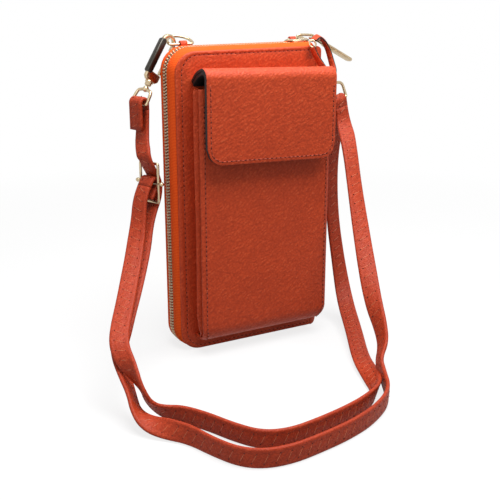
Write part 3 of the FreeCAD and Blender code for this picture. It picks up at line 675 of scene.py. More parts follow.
# Phone pocket
# One leather face sewn along its foot, curving back to the front cover, with folded bellows at its sides.
# Its open top lies under the flap.
pocket_half = 45.7
pocket_foot = 20.5
pocket_bend = 11.5
pocket_thick = 1.4
pocket_front = box_mm("pocket_face")[1]
pocket_top = box_mm("pocket_face")[5]
pocket_columns = 28
pocket_rows = 40
foot_rows, bend_rows = 4, 14
pocket_crowd = 0.85
pocket_draw = (2.2, 6, 14)
face_inset = 1.7
edge_share = 0.045
edge_turn = 0.9
swell = 0.9
swell_low, swell_low_run = 8, 40
swell_top_run, swell_top_share = 30, 0.3
gusset_line = [(5.2, 0.2), (5.8, 4.0), (5.2, 7.4), (3.0, 9.4), (0.7, 10.6), (0.1, 11.4), (0.4, 12.1),
               (2.6, 12.6), (5.0, 13.2), (5.4, 13.9), (4.4, 14.6), (2.6, 15.2), (2.3, 15.8)]
gusset_thick = 0.9
gusset_depth = 15.6
gusset_clear = 0.15
gusset_short = 0.5
gusset_least_share = 0.5
gusset_wave, gusset_wave_run = 0.25, 17.0
left_gusset_draw = (2.4, 8, 18)


def drawn_in(z, draw, low, run):
    """Inset at a height: the full draw at a low level, more below it, and none from a run above it."""
    return draw * max(1 - (z - low) / run, 0)


def crowded(c, columns, power):
    """Share from -1 to 1 across a panel, its columns crowded to the sides by a power under 1."""
    share = -1 + 2 * c / columns
    return math.copysign(abs(share) ** power, share)


def pocket_line(inset):
    """Points up the pocket's face, from its foot at the cover to its open top, with their outward angles."""
    middle_y = pocket_front + pocket_bend
    radius = pocket_bend - inset
    line = []
    for r in range(pocket_rows + 1):
        if r < foot_rows:
            y = -half_depth + (middle_y + half_depth) * r / foot_rows
            line.append((y, pocket_foot - radius, math.pi / 2))
        elif r <= bend_rows:
            angle = math.pi / 2 * (bend_rows - r) / (bend_rows - foot_rows)
            line.append((middle_y - radius * math.cos(angle), pocket_foot - radius * math.sin(angle), angle))
        else:
            share = (r - bend_rows) / (pocket_rows - bend_rows)
            line.append((pocket_front + inset, pocket_foot + (pocket_top - pocket_foot) * share, 0.0))
    return line


def pocket_grid(inset):
    """Points of one side of the pocket's leather, swelling in its middle and turned in at its edges."""
    grid = []
    for y, z, angle in pocket_line(inset):
        row = []
        rise = min(max(z - swell_low, 0) / swell_low_run, 1)
        rise *= min(max(pocket_top - z, 0) / swell_top_run + swell_top_share, 1)
        for c in range(pocket_columns + 1):
            share = crowded(c, pocket_columns, pocket_crowd)
            x = share * (pocket_half - drawn_in(z, *pocket_draw) - face_inset * (share < 0))
            edge = max(abs(share) - (1 - edge_share), 0) / edge_share
            out = swell * rise * (1 - share ** 2) - edge_turn * edge ** 2
            row.append((x, y - out * math.cos(angle), z - out * math.sin(angle)))
        grid.append(row)
    return grid


pocket_face = shell_piece("pocket_leather", pocket_grid(0.0), pocket_grid(pocket_thick), [panel_leather])
finish_piece(pocket_face, "front_half", "leather", "pocket_face")
for side, name in ((-1, "left"), (1, "right")):
    outer, inner = [], []
    for y, z, angle in pocket_line(pocket_thick + gusset_clear):
        z = min(z, pocket_top - gusset_short)
        depth = (-half_depth - y) / gusset_depth
        gather = gusset_least_share + (1 - gusset_least_share) * min(depth, 1)
        wave = gusset_wave * math.sin(z / gusset_wave_run)
        draw = drawn_in(z, *pocket_draw) + drawn_in(z, *left_gusset_draw) * (side < 0)
        for grid, wall in ((outer, 0.0), (inner, gusset_thick)):
            grid.append([(side * (pocket_half - inset * gather - draw - wall + wave * out / gusset_depth),
                          -half_depth - out * depth, z) for inset, out in gusset_line])
    gusset = shell_piece("pocket_gusset_leather_" + name, outer, inner, [panel_leather], bevel=0.25)
    finish_piece(gusset, "front_half", "leather", "pocket_gusset_" + name)


# Linings
# Black woven lining: inside the pocket, under the flap and inside both covers.
# The card pockets and the slip pocket inside are cut from the same cloth and topped with a turned edge.
lining_thread = 0.8224
lining_turn = 0.4
lining_puff_inset, lining_puff = 3.0, 0.05
cloth_steps = 12
card_pockets = 3
card_puff, slip_puff = -0.25, 0.3
lining_half = 41.0
lining_top = 165.0
lining_thick = 0.55
lining_clear = 0.05
lining_columns = 10
lining_draw = (5.0, 8, 14)


def woven_lining(name, base, pale):
    """Plain weave polyester: matt black with a faint thread grid, drawn coarse so that it shows."""
    material, tree = blank_material(name)
    place = node(tree, "ShaderNodeTexCoord")
    warp, weft = [
        node(tree, "ShaderNodeTexWave",
             {"Vector": place.outputs["Object"], "Scale": 1 / (lining_thread * mm) / wave_bands,
              "Distortion": 0.4}, bands_direction=direction)
        for direction in ("X", "Z")]
    weave = node(tree, "ShaderNodeMath", {0: warp.outputs["Fac"], 1: weft.outputs["Fac"]},
                 operation="MULTIPLY")
    two_tone(tree, weave.outputs[0], base, pale, {"Roughness": 0.85, "Specular IOR Level": 0.2},
             relief=0.35, depth=0.1)
    return material


lining_black = woven_lining("black_lining", "#120F0F", "#242020")


def cloth_panel(name, node_name, body, puff):
    """Soft slab in the place of a flat solid, swelling a little in its middle on the open side."""
    x0, low_y, z0, x1, high_y, z1 = box_mm(node_name)
    back, front = (low_y, high_y) if puff > 0 else (high_y, low_y)
    xs = spread(x0, x1, cloth_steps)
    across = [math.sin(math.pi * c / cloth_steps) for c in range(cloth_steps + 1)]
    outer, inner = [], []
    for r, z in enumerate(spread(z0, z1, cloth_steps)):
        share = puff * math.sin(math.pi * min(r + 1, cloth_steps) / (cloth_steps + 1))
        outer.append([(x, front + share * swelling, z) for x, swelling in zip(xs, across)])
        inner.append([(x, back, z) for x in xs])
    panel = shell_piece(name, outer, inner, [lining_black], bevel=0.25)
    finish_piece(panel, body, "lining", node_name)


for side, name in ((-1, "front"), (1, "back")):
    x0, low_y, z0, x1, high_y, z1 = box_mm("lining_" + name)
    inner_y, outer_y = sorted((abs(low_y), abs(high_y)))
    lining_profile = [(lining_turn, outer_y), (0.0, (inner_y + outer_y) / 2), (lining_turn, inner_y),
                      (lining_puff_inset, inner_y - lining_puff)]
    rings = [cover_ring((x0, x1, z0, z1), inset, side * y) for inset, y in lining_profile]
    panel = lofted_panel("lining_cloth_" + name, rings, [lining_black])
    finish_piece(panel, name + "_half", "lining", "lining_" + name)
for number in range(card_pockets):
    cloth_panel("card_pocket_cloth_%d" % number, "card_pocket_%d" % number, "back_half", card_puff)
cloth_panel("slip_pocket_cloth", "slip_pocket", "front_half", slip_puff)

outer, inner = [], []
for y, z, angle in pocket_line(pocket_thick + lining_clear):
    half = lining_half - drawn_in(z, *lining_draw)
    z = min(z, lining_top)
    in_y, in_z = lining_thick * math.cos(angle), lining_thick * math.sin(angle)
    outer.append([(x, y, z) for x in spread(-half, half, lining_columns)])
    inner.append([(x, y + in_y, z + in_z) for x in spread(-half, half, lining_columns)])
pocket_lining = shell_piece("pocket_lining_cloth", outer, inner, [lining_black], bevel=0.15)
finish_piece(pocket_lining, "front_half", "lining", "pocket_lining")


# Flap
# Pebbled leather lined with black, its edge painted black, sewn to the cover and folded over the pocket.
flap_half = 43.7
flap_leather = 1.8
flap_lining = 2.0
flap_fold = 6.0
fold_y, fold_z = -31.5, 174.2
root_y, root_z = -11.8, 171.6
flap_bottom = 125.0
flap_corner = 10.0
flap_columns = 36
flap_crowd = 0.72
roof_rows, fold_rows, front_rows = 11, 10, 22
roof_arch = 1.1
roof_draw_share = 0.05
flap_tilt = 0.033
flap_sag, flap_sag_run = 0.5, 51
flap_edge_share = 0.03
flap_edge_turn = 0.35
flap_under_margin, flap_under_gap = 0.25, 0.02
roof_reach = math.hypot(fold_y - root_y, fold_z - root_z)
roof_rise = math.atan2(fold_z - root_z, root_y - fold_y) + math.asin(flap_fold / roof_reach)
anchor_rows, anchor_columns = 4, 10
anchor_over = 0.6
anchor_out, anchor_thin, anchor_back = 1.4, 0.3, 0.05
paint_fleck = 1.4286

# Brushed edge paint: dull black, slightly uneven.
edge_paint, edge_tree = blank_material("black_edge_paint")
edge_place = node(edge_tree, "ShaderNodeTexCoord")
edge_wear = node(edge_tree, "ShaderNodeTexNoise",
                 {"Vector": edge_place.outputs["Object"], "Scale": 1 / (paint_fleck * mm), "Detail": 3.0})
two_tone(edge_tree, edge_wear.outputs["Fac"], "#120F0F", "#231D1C",
         {"Roughness": 0.5, "Specular IOR Level": 0.2}, relief=0.2, depth=0.1)


def flap_line(depth, bottom):
    """Points from the flap's root over its fold to its lower edge, at a depth under its outer face."""
    along = (-math.cos(roof_rise), math.sin(roof_rise))
    up = (math.sin(roof_rise), math.cos(roof_rise))
    length = math.sqrt(roof_reach ** 2 - flap_fold ** 2)
    line = []
    for r in range(roof_rows):
        gone = length * r / roof_rows
        lift = roof_arch * math.sin(math.pi * r / roof_rows) - depth
        line.append((root_y + along[0] * gone + up[0] * lift, root_z + along[1] * gone + up[1] * lift))
    radius = flap_fold - depth
    for angle in spread(math.pi / 2 - roof_rise, math.pi, fold_rows):
        line.append((fold_y + radius * math.cos(angle), fold_z + radius * math.sin(angle)))
    line += [(fold_y - radius, z) for z in spread(fold_z, bottom, front_rows)[1:]]
    return line


def flap_grid(depth, margin):
    """Points of one side of a flap layer, in rows from its root to its lower edge with round corners."""
    columns = []
    corner = flap_corner - margin
    for c in range(flap_columns + 1):
        share = crowded(c, flap_columns, flap_crowd)
        x = share * (flap_half - margin)
        over = max(abs(x) - (flap_half - flap_corner), 0)
        bottom = flap_bottom + margin + corner - math.sqrt(max(corner ** 2 - over ** 2, 0))
        edge = max(abs(share) - (1 - flap_edge_share), 0) / flap_edge_share * max(flap_edge_turn - depth, 0)
        column = []
        for r, (y, z) in enumerate(flap_line(depth, bottom)):
            fallen = min(max((fold_z - z) / flap_sag_run, 0), 1)
            wave = flap_sag * math.sin(math.pi * fallen) * (1 - share ** 2)
            drawn = x * (1 - roof_draw_share * max(1 - r / roof_rows, 0))
            column.append((drawn, y - wave + edge, z - flap_tilt * (drawn + flap_half)))
        columns.append(column)
    return [list(row) for row in zip(*columns)]


flap = shell_piece("flap_leather", flap_grid(0.0, 0.0), flap_grid(flap_leather, 0.0),
                   [panel_leather, edge_paint, edge_paint])
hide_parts("flap_roof", "flap_front")
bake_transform(flap)
flap_under = shell_piece("flap_lining_cloth", flap_grid(flap_leather + flap_under_gap, flap_under_margin),
                         flap_grid(flap_leather + flap_lining, flap_under_margin),
                         [edge_paint, lining_black, edge_paint])
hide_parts("flap_roof_lining", "flap_front_lining")
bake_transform(flap_under)

anchor_box = box_mm("flap_anchor")
xs = spread(anchor_box[0], anchor_box[3], anchor_columns)
outer, inner = [], []
for r, z in enumerate(spread(anchor_box[2], root_z + anchor_over, anchor_rows)):
    outer.append([(x, -half_depth - anchor_out + anchor_thin * (r == 0), z) for x in xs])
    inner.append([(x, -half_depth - anchor_back, z) for x in xs])
anchor = shell_piece("flap_anchor_leather", outer, inner, [panel_leather])
finish_piece(anchor, "front_half", "leather", "flap_anchor")


# Magnet snap and boards
# Nickel-plated snap halves riveted through the flap and the pocket, and grey boards inside the covers.
# They are seen only with the flap or the pouch open.
board_fibre_length = 2.0
snap_nickel = worn_metal("nickel_plate", "#C9C7C2", "#8F8D88", roughness=0.18, scratch=2.5)

# Pressed grey board: matt, with pale and dark fibres.
grey_board, board_tree = blank_material("grey_board")
board_place = node(board_tree, "ShaderNodeTexCoord")
board_fibre = node(board_tree, "ShaderNodeTexNoise",
                   {"Vector": board_place.outputs["Object"], "Scale": 1 / (board_fibre_length * mm),
                    "Detail": 5.0})
two_tone(board_tree, board_fibre.outputs["Fac"], "#6E6A63", "#8C877E", {"Roughness": 0.9})
for node_name in ("snap_socket", "snap_stud", "snap_plate_pocket", "snap_plate_flap"):
    coat_solid(node_name, snap_nickel)
for node_name in ("board_front", "board_back"):
    coat_solid(node_name, grey_board)


# Zip slider and pulls
# Pale gold die-cast slider with a bridge and a small ring, a flat metal pull and a leather loop.
# The loop is a folded strip with dark painted edges.
boat = [(32.0, -3.4), (33.2, -4.25), (39.0, -4.25), (43.6, -3.0), (45.5, -1.7), (45.5, 1.7), (43.6, 3.0),
        (39.0, 4.25), (33.2, 4.25), (32.0, 3.4)]
post = [(41.5, -0.9), (45.5, -0.9), (45.5, 0.9), (41.5, 0.9)]
front_flange = [(32.4, -3.1), (42.0, -3.1), (39.0, -4.2), (33.2, -4.2)]
back_flange = [(u, -v) for u, v in front_flange]
# Outline, thickness, height and rounding of each flat part of the slider.
slider_plates = {
    "slider_top": (boat, 1.2, 190.9, 0.4),
    "slider_floor": (boat, 1.2, 186.7, 0.4),
    "slider_post": (post, 3.0, 188.8, 0.2),
    "slider_flange_front": (front_flange, 0.9, 190.1, 0.2),
    "slider_flange_back": (back_flange, 0.9, 190.1, 0.2),
}
bridge_wire, pin_wire, ring_wire = 0.8, 0.75, 0.6
bridge_line = [(37.4, 0, 191.4), (37.2, 0, 192.8), (38.2, 0, 194.2), (41.5, 0, 194.2), (45.0, 0, 194.0),
               (48.4, 0, 193.8), (49.9, 0, 193.0), (49.8, 0, 191.7)]
pin_line = [(48.4, 2.6, 191.8), (48.4, 0.5, 191.9), (48.4, -4.0, 191.8), (48.2, -8.4, 191.9),
            (45.2, -11.6, 192.0), (42.0, -13.6, 191.2)]
ring_mid = Vector((40.4, -13.9, 189.5))
ring_side = Vector((1.8, -0.9, 0.0))
ring_up = Vector((0.0, 0.6, 2.2))
ring_points = 12
tab_spot = (48.4, -3.6, 191.8)
tab_length = 32.0
tab_thick = 1.0
tab_droop = math.radians(28)
tab_roll = math.radians(72)
tab_eye, tab_half = 1.55, 2.75
tab_neck = [(3.0, -1.45), (6.0, -1.6), (8.5, -2.6), (11.0, -tab_half)]
loop_section = [(-2.0, -0.45), (-2.0, 0.45), (-1.7, 0.75), (1.7, 0.75), (2.0, 0.45), (2.0, -0.45),
                (1.7, -0.75), (-1.7, -0.75)]
loop_kinds = [1, 0, 0, 0, 1, 0, 0, 0]
loop_route = [
    (39.6, -14.8, 187.6), (40.2, -15.2, 185.8), (41.4, -15.9, 182.9), (43.2, -16.8, 179.6),
    (45.6, -18.0, 175.4), (49.5, -17.6, 170.7), (54.5, -15.3, 168.0), (58.3, -11.8, 171.8),
    (58.2, -8.6, 177.2), (56.8, -7.0, 184.0), (54.0, -6.6, 189.4), (50.0, -7.2, 193.2),
    (45.4, -10.4, 193.7), (41.0, -13.6, 191.4)]
loop_across = [
    (0.3, -0.93, 0.2), (0.3, -0.93, 0.2), (0.3, -0.93, 0.2), (0.35, -0.9, 0.3),
    (0.6, -0.6, 0.4), (0.8, 0.2, 0.5), (0.4, 0.8, 0.4), (-0.3, 0.9, 0.1),
    (-0.4, 0.9, 0.0), (-0.3, 0.95, 0.0), (-0.2, 0.95, 0.1), (0.0, 0.95, 0.2),
    (0.2, 0.9, 0.3), (0.3, 0.9, 0.3)]
gold = worn_metal("pale_gold_plate", "#E0CDAC", "#A38B68", roughness=0.16, scratch=3.0)


def flat_plate(name, outline, thickness, place, material, bevel):
    """Plate cut to an outline in its own plane and set in place."""
    size = len(outline)
    points = [place @ Vector((u, v, w)) for w in (-thickness / 2, thickness / 2) for u, v in outline]
    faces = [tuple(reversed(range(size))), tuple(range(size, 2 * size))]
    faces += [(i, (i + 1) % size, size + (i + 1) % size, size + i) for i in range(size)]
    return make_piece(name, points, faces, [material], bevel=bevel)


def arc_points(u, v, radius, start, end, steps=10):
    """Points of an arc in a plate's plane, angles in degrees."""
    turns = [math.radians(angle) for angle in spread(start, end, steps)]
    return [(u + radius * math.cos(t), v + radius * math.sin(t)) for t in turns]


def smooth_line(data, points, closed=False, steps=8):
    """Add to a curve a smooth line with control points in millimetres."""
    data.dimensions = "3D"
    spline = data.splines.new("NURBS")
    spline.points.add(len(points) - 1)
    for spot, p in zip(spline.points, points):
        spot.co = (*(Vector(p) * mm), 1)
    spline.order_u = 3
    spline.use_endpoint_u = not closed
    spline.use_cyclic_u = closed
    spline.resolution_u = steps


def wire_piece(name, points, radius, material, closed=False):
    """Round wire along a smooth line through control points."""
    data = bpy.data.curves.new(name, "CURVE")
    smooth_line(data, points, closed)
    data.bevel_depth = radius * mm
    data.bevel_resolution = 4
    data.use_fill_caps = True
    mesh = plain_mesh(put_in_scene(name + "_line", data))
    mesh.materials.clear()
    mesh.materials.append(material)
    return smooth_piece(name, mesh)


def turned_piece(name, profile, place, material, steps=20):
    """Turned part from a profile of places along its axis and radii."""
    turns = [2 * math.pi * i / steps for i in range(steps)]
    points = [place @ Vector((u, radius * math.cos(t), radius * math.sin(t)))
              for u, radius in profile for t in turns]
    return make_piece(name, points, ring_faces(len(profile), steps), [material])


def joined_piece(name, parts):
    """One object from several of the same body."""
    bpy.ops.object.select_all(action="DESELECT")
    depsgraph = bpy.context.evaluated_depsgraph_get()
    for part in parts:
        if part.modifiers:
            mesh = bpy.data.meshes.new_from_object(part.evaluated_get(depsgraph))
            part.modifiers.clear()
            part.data = mesh
    for part in parts:
        part.select_set(True)
    bpy.context.view_layer.objects.active = parts[0]
    bpy.ops.object.join()
    parts[0].name = name
    return parts[0]


def set_at(point, x_axis, y_axis):
    """Placing matrix from a point in millimetres and two axes."""
    x_axis = Vector(x_axis).normalized()
    y_axis = Vector(y_axis).normalized()
    z_axis = x_axis.cross(y_axis)
    matrix = Matrix((x_axis, y_axis, z_axis)).transposed().to_4x4()
    matrix.translation = Vector(point)
    return matrix


def soft_route(points, across):
    """Places along a smooth line that a route controls, each with the band's sideways direction."""
    data = bpy.data.curves.new("route", "CURVE")
    smooth_line(data, points)
    side_reach = 10.0
    smooth_line(data, [Vector(p) + Vector(side).normalized() * side_reach for p, side in zip(points, across)])
    mesh = plain_mesh(put_in_scene("route", data))
    spots = [v.co / mm for v in mesh.vertices]
    bpy.data.meshes.remove(mesh)
    half = len(spots) // 2
    return [(spots[i], (spots[half + i] - spots[i]).normalized()) for i in range(half)]


def band_piece(name, route, section, materials, kinds=None):
    """Band of one section along a route. Kinds give the material of each side of the section."""
    points, frames = [], []
    for i, (spot, side) in enumerate(route):
        flow = (route[min(i + 1, len(route) - 1)][0] - route[max(i - 1, 0)][0]).normalized()
        side = (side - flow * side.dot(flow)).normalized()
        out = flow.cross(side)
        frames.append((spot, flow, side, out))
        points += [spot + side * u + out * v for u, v in section]
    face_kinds = (kinds or [0] * len(section)) * (len(route) - 1) + [len(materials) - 1] * 2
    band = make_piece(name, points, ring_faces(len(route), len(section)), materials, face_kinds)
    flatten_caps(band)
    return band, frames


parts = [flat_plate(name, outline, thickness, Matrix.Translation((0, 0, height)), gold, rounding)
         for name, (outline, thickness, height, rounding) in slider_plates.items()]
parts.append(wire_piece("slider_bridge", bridge_line, bridge_wire, gold))
parts.append(wire_piece("slider_pin", pin_line, pin_wire, gold))
ring_turns = [2 * math.pi * k / ring_points for k in range(ring_points)]
ring_line = [ring_mid + ring_side * math.cos(t) + ring_up * math.sin(t) for t in ring_turns]
parts.append(wire_piece("slider_ring", ring_line, ring_wire, gold, closed=True))
finish_piece(joined_piece("zip_slider_body", parts), "slider", "gold_metal", "zip_slider")

tab_frame = set_at(tab_spot, (math.cos(tab_droop), 0, -math.sin(tab_droop)),
                   (-math.sin(tab_droop), 0, -math.cos(tab_droop))) @ Matrix.Rotation(tab_roll, 4, "X")
tab_outline = arc_points(0, 0, tab_eye, 80, 280) + tab_neck
tab_outline += arc_points(tab_length - tab_half, 0, tab_half, -90, 90)
tab_outline += [(u, -v) for u, v in reversed(tab_neck)]
tab = flat_plate("zip_pull_plate", tab_outline, tab_thick, tab_frame, gold, bevel=0.3)
finish_piece(tab, "pull_tab", "gold_metal", "zip_pull_tab")

loop_line = soft_route(loop_route, loop_across)
loop_strip = band_piece("zip_pull_leather", loop_line, loop_section, [panel_leather, edge_paint],
                        loop_kinds)[0]
finish_piece(loop_strip, "pull_loop", "leather", "zip_pull_loop")


# Rings and their tabs
# Gold wire D-rings on the two upper corners of the back cover, where the snap hooks hold.
# Each bar is held by a short leather tab, looped round it and sewn to the cover.
ring_bar_y, ring_bar_z = half_depth + 2.15, 190.2
ring_tab_foot = 166.4
ring_tab_bend = 1.65
ring_tab_front = half_depth + 0.65
ring_tab_rows, ring_tab_turns, ring_tab_columns = 8, 8, 4
ring_tab_thick = 1.0
ring_tab_back = [(14.9, 187.6), (14.1, 184.6), (13.3, 181.5), (13.05, 178.0), (13.0, 172.0),
                 (13.0, ring_tab_foot)]
tab_side = [(ring_tab_front, z) for z in spread(ring_tab_foot, ring_bar_z, ring_tab_rows)[:-1]]
for turn in spread(math.pi, 0.0, ring_tab_turns):
    tab_side.append((ring_bar_y + ring_tab_bend * math.cos(turn),
                     ring_bar_z + ring_tab_bend * math.sin(turn)))
tab_side += ring_tab_back
for name in ("left", "right"):
    coat_solid("d_ring_" + name, gold)
    tab_box = box_mm("ring_tab_" + name)
    xs = spread(tab_box[0], tab_box[3], ring_tab_columns)
    outer, inner = [], []
    for i, (y, z) in enumerate(tab_side):
        flow = flow_at(tab_side, i)
        out = Vector((-flow.y, flow.x)) * (ring_tab_thick / 2)
        outer.append([(x, y + out.x, z + out.y) for x in xs])
        inner.append([(x, y - out.x, z - out.y) for x in xs])
    ring_tab = shell_piece("ring_tab_leather_" + name, outer, inner, [panel_leather], bevel=0.2)
    finish_piece(ring_tab, "back_half", "leather", "ring_tab_" + name)


# Snap hooks
# Die-cast gold hooks with a barrel and a sprung gate, hung in the D-rings; the barrel is coloured dark as a
# painted reflection.
# Each turns on a swivel ball that carries a wire loop for the strap.
# Eye of each hook, the ways along and across its plate, and the way along its loop's bar.
hook_frames = {
    "left": ((-44.0, 15.46, 191.05), (-0.538, -0.107, -0.836), (0.798, 0.253, -0.546),
             (0.319, -0.944, -0.084)),
    "right": ((53.25, 18.21, 187.35), (0.314, -0.545, -0.778), (0.874, 0.485, 0.013),
              (0.949, 0.201, 0.242)),
}
swivel_bars = {"left": (-65.79, 11.13, 157.18), "right": (67.03, -3.62, 151.48)}
# Height of a loop's shoulders over its bar, how far they splay, and half its bar.
swivel_shapes = {"left": (8.0, -1.0, 6.9), "right": (9.5, 1.8, 8.4)}
swivel_top = 31.2
swivel_wire = 1.0
swivel_corner = 2.0
swivel_neck_share, swivel_leg_share = 0.55, 0.6
hook_thick, barrel_thick, gate_thick = 2.6, 3.8, 2.2
hook_inner, hook_outer = 3.3, 5.3
hook_tip = 3.7
hook_outline = [(hook_tip, hook_inner), (0.0, hook_inner)] + arc_points(0, 0, hook_inner, 90, 270, 12)[1:] + [
    (1.4, -2.4), (20.0, -2.4), (20.0, hook_outer), (24.4, hook_outer), (26.0, 3.4), (26.0, -3.4),
    (24.4, -hook_outer), (0.0, -hook_outer)]
hook_outline += arc_points(0, 0, hook_outer, 270, 90, 16)[1:] + [(hook_tip, hook_outer)]
barrel_outline = [(0.5, -2.1), (-0.8, -3.2), (-0.8, -5.2), (0.5, -6.3), (21.0, -6.3), (22.0, -5.6),
                  (22.0, -2.8), (21.0, -2.1)]
gate_outline = [(4.0, 3.5), (5.0, 3.35), (18.6, 3.35), (19.6, 3.6), (19.6, 5.0), (18.6, 5.25), (5.0, 5.25),
                (4.0, 5.1)]
collar_profile = [(25.6, 2.1), (25.9, 2.6), (26.9, 2.6), (27.2, 2.1), (28.5, 2.1), (29.0, 1.7)]
ball_profile = [(29.3, 0.7), (29.9, 1.55), (31.2, 2.0), (32.5, 1.55), (33.1, 0.6)]
# Dark metal for the hooks' barrels: a painted reflection, the dark surroundings mirrored in the gold.
dark_reflection_metal = worn_metal("dark_reflection_plate", "#57534D", "#2B2926", roughness=0.3, scratch=3.0)
for name, (eye, down, side, across) in hook_frames.items():
    place = set_at(eye, down, side)
    body = flat_plate("hook_body", hook_outline, hook_thick, place, gold, bevel=0.55)
    collar = turned_piece("hook_collar", collar_profile, place, gold)
    # The barrel takes the dark metal as a painted reflection.
    barrel = flat_plate("hook_barrel", barrel_outline, barrel_thick, place, dark_reflection_metal, bevel=0.7)
    hook = joined_piece("hook_plate_" + name, [body, collar, barrel])
    finish_piece(hook, "snap_hook_" + name, "gold_metal", "hook_" + name)
    gate = flat_plate("hook_gate_plate_" + name, gate_outline, gate_thick, place, gold, bevel=0.45)
    finish_piece(gate, "gate_" + name, "gold_metal", "hook_gate_" + name)
    ball = turned_piece("swivel_ball", ball_profile, place, gold)
    across = Vector(across).normalized()
    top = Vector(eye) + Vector(down).normalized() * swivel_top
    bar = Vector(swivel_bars[name])
    height, splay, half_bar = swivel_shapes[name]
    halves = []
    for way in (1, -1):
        corner = bar + across * (way * half_bar)
        shoulder = corner + (top - bar).normalized() * height + (corner - bar).normalized() * splay
        neck = top.lerp(shoulder, swivel_neck_share)
        leg = shoulder.lerp(corner, swivel_leg_share)
        halves.append([neck, shoulder, leg, corner, corner - across * (way * swivel_corner)])
    loop_points = [top] + halves[0] + [bar] + halves[1][::-1]
    loop = wire_piece("swivel_loop", loop_points, swivel_wire, gold, closed=True)
    swivel = joined_piece("swivel_" + name, [ball, loop])
    finish_piece(swivel, "back_half", "gold_metal", "hook_swivel_" + name)


# Buckle
# A gold wire frame, bent to a rectangle with round corners, that the strap runs over.
# The strap's sliding end is folded round its centre bar, whose balls stand past the frame.
buckle_mid = Vector((-64.0, 3.0, 110.0))
buckle_across = Vector((0.371, -0.929, 0.0)).normalized()
buckle_half = 7.6
buckle_rise = 12.0
buckle_wire = 0.9
bend_shares = [(1.0, 0.8), (1.0, 1.0), (0.72, 1.0)]
frame_line = []
for u, v, far in ((1, -1, 1), (1, 1, 0), (-1, 1, 1), (-1, -1, 0)):
    for across, up in reversed(bend_shares) if far else bend_shares:
        frame_line.append(buckle_mid + buckle_across * (u * across * buckle_half)
                          + Vector((0, 0, v * up * buckle_rise)))
frame_wire = wire_piece("buckle_wire", frame_line, buckle_wire, gold, closed=True)
finish_piece(frame_wire, "back_half", "gold_metal", "buckle_frame")
bar_place = set_at(buckle_mid, buckle_across, (0, 0, 1))
bar_half = [(8.8, 0.9), (9.2, 1.1), (10.3, 1.45), (11.4, 1.0), (11.7, 0.4)]
bar_profile = [(-u, radius) for u, radius in reversed(bar_half)] + bar_half
buckle_pin = turned_piece("buckle_pin", bar_profile, bar_place, gold)
finish_piece(buckle_pin, "back_half", "gold_metal", "buckle_bar")


# Strap
# One long strip of folded leather, sewn along both edges and folded round the hooks' wire loops.
# It runs from the left hook over the buckle, along the table to the right hook and back to the buckle's bar.
# Its darker red serves for painted shade in the creases and for random blotches; its pale red is a painted
# highlight on the grain's tops.
strap_leather = pebbled_leather("strap_leather", "#B03A18", "#80240E", "#C65630",
                                pebble=0.9, crease=3.0, roughness=0.5)
strap_thick = 2.4
strap_play = 0.5
strap_side = [(-5.5, 0.0), (-5.3, 0.7), (-4.7, 1.08), (-3.7, 1.16), (-2.9, 1.06), (-2.1, 1.16)]
strap_face = strap_side + [(0.0, strap_thick / 2)] + [(-u, v) for u, v in reversed(strap_side)]
strap_section = strap_face + [(u, -v) for u, v in reversed(strap_face[1:-1])]
tail_rows, fold_turns, leg_rows = 6, 12, 2
fold_wire, fold_leg = 1.0, 4.0
inner_route = [
    (-68.1, 1.4, 108.1), (-72.1, -0.2, 101.4), (-74.9, -4.1, 88.5), (-79.0, -9.7, 78.6),
    (-84.6, -18.4, 69.4), (-90.7, -27.3, 60.7), (-98.1, -39.4, 52.4), (-105.9, -51.6, 44.9),
    (-111.0, -61.7, 39.0), (-111.7, -69.2, 33.9), (-108.9, -76.8, 26.9), (-106.7, -84.4, 19.2),
    (-102.6, -85.5, 10.0), (-95.9, -90.0, 5.6), (-88.4, -96.8, 5.7), (-80.4, -109.9, 5.8),
    (-73.3, -126.1, 5.8), (-64.4, -139.9, 5.8), (-50.6, -144.5, 5.8), (-32.3, -142.3, 5.8),
    (-11.9, -138.1, 5.8), (6.0, -132.3, 5.8), (20.8, -122.8, 6.2), (29.6, -102.9, 5.0),
    (37.3, -81.8, 5.0), (55.9, -47.9, 6.5), (69.5, -17.0, 14.0), (72.5, -3.0, 38.0),
    (70.5, 4.0, 72.0), (69.0, 4.5, 108.0), (70.0, 0.5, 134.0), (69.6, -0.3, 138.0),
    (67.4, -0.8, 147.6)]
inner_across = [
    (0.371, -0.929, 0.0), (0.371, -0.929, 0.0), (0.50, -0.85, 0.0), (0.70, -0.70, 0.0),
    (0.80, -0.58, 0.0), (0.84, -0.52, 0.0), (0.84, -0.52, 0.0), (0.84, -0.52, 0.0),
    (0.86, -0.45, 0.0), (0.78, -0.36, 0.45), (0.18, -0.60, 0.78), (-0.38, -0.65, 0.66),
    (-0.10, -0.85, 0.51), (-0.08, -0.37, 0.92), (0, 0, 1), (0, 0, 1),
    (0, 0, 1), (0, 0, 1), (0, 0, 1), (0, 0, 1),
    (0, 0, 1), (0, 0, 1), (0.30, -0.15, 0.94), (0.75, -0.40, 0.50),
    (0.88, -0.45, 0.10), (0.90, -0.35, 0.10), (0.90, -0.25, 0.30), (0.97, 0.10, 0.0),
    (0.96, 0.20, 0.0), (0.95, 0.20, 0.10), (0.95, 0.20, 0.20), (0.949, 0.201, 0.242),
    (0.949, 0.201, 0.242)]
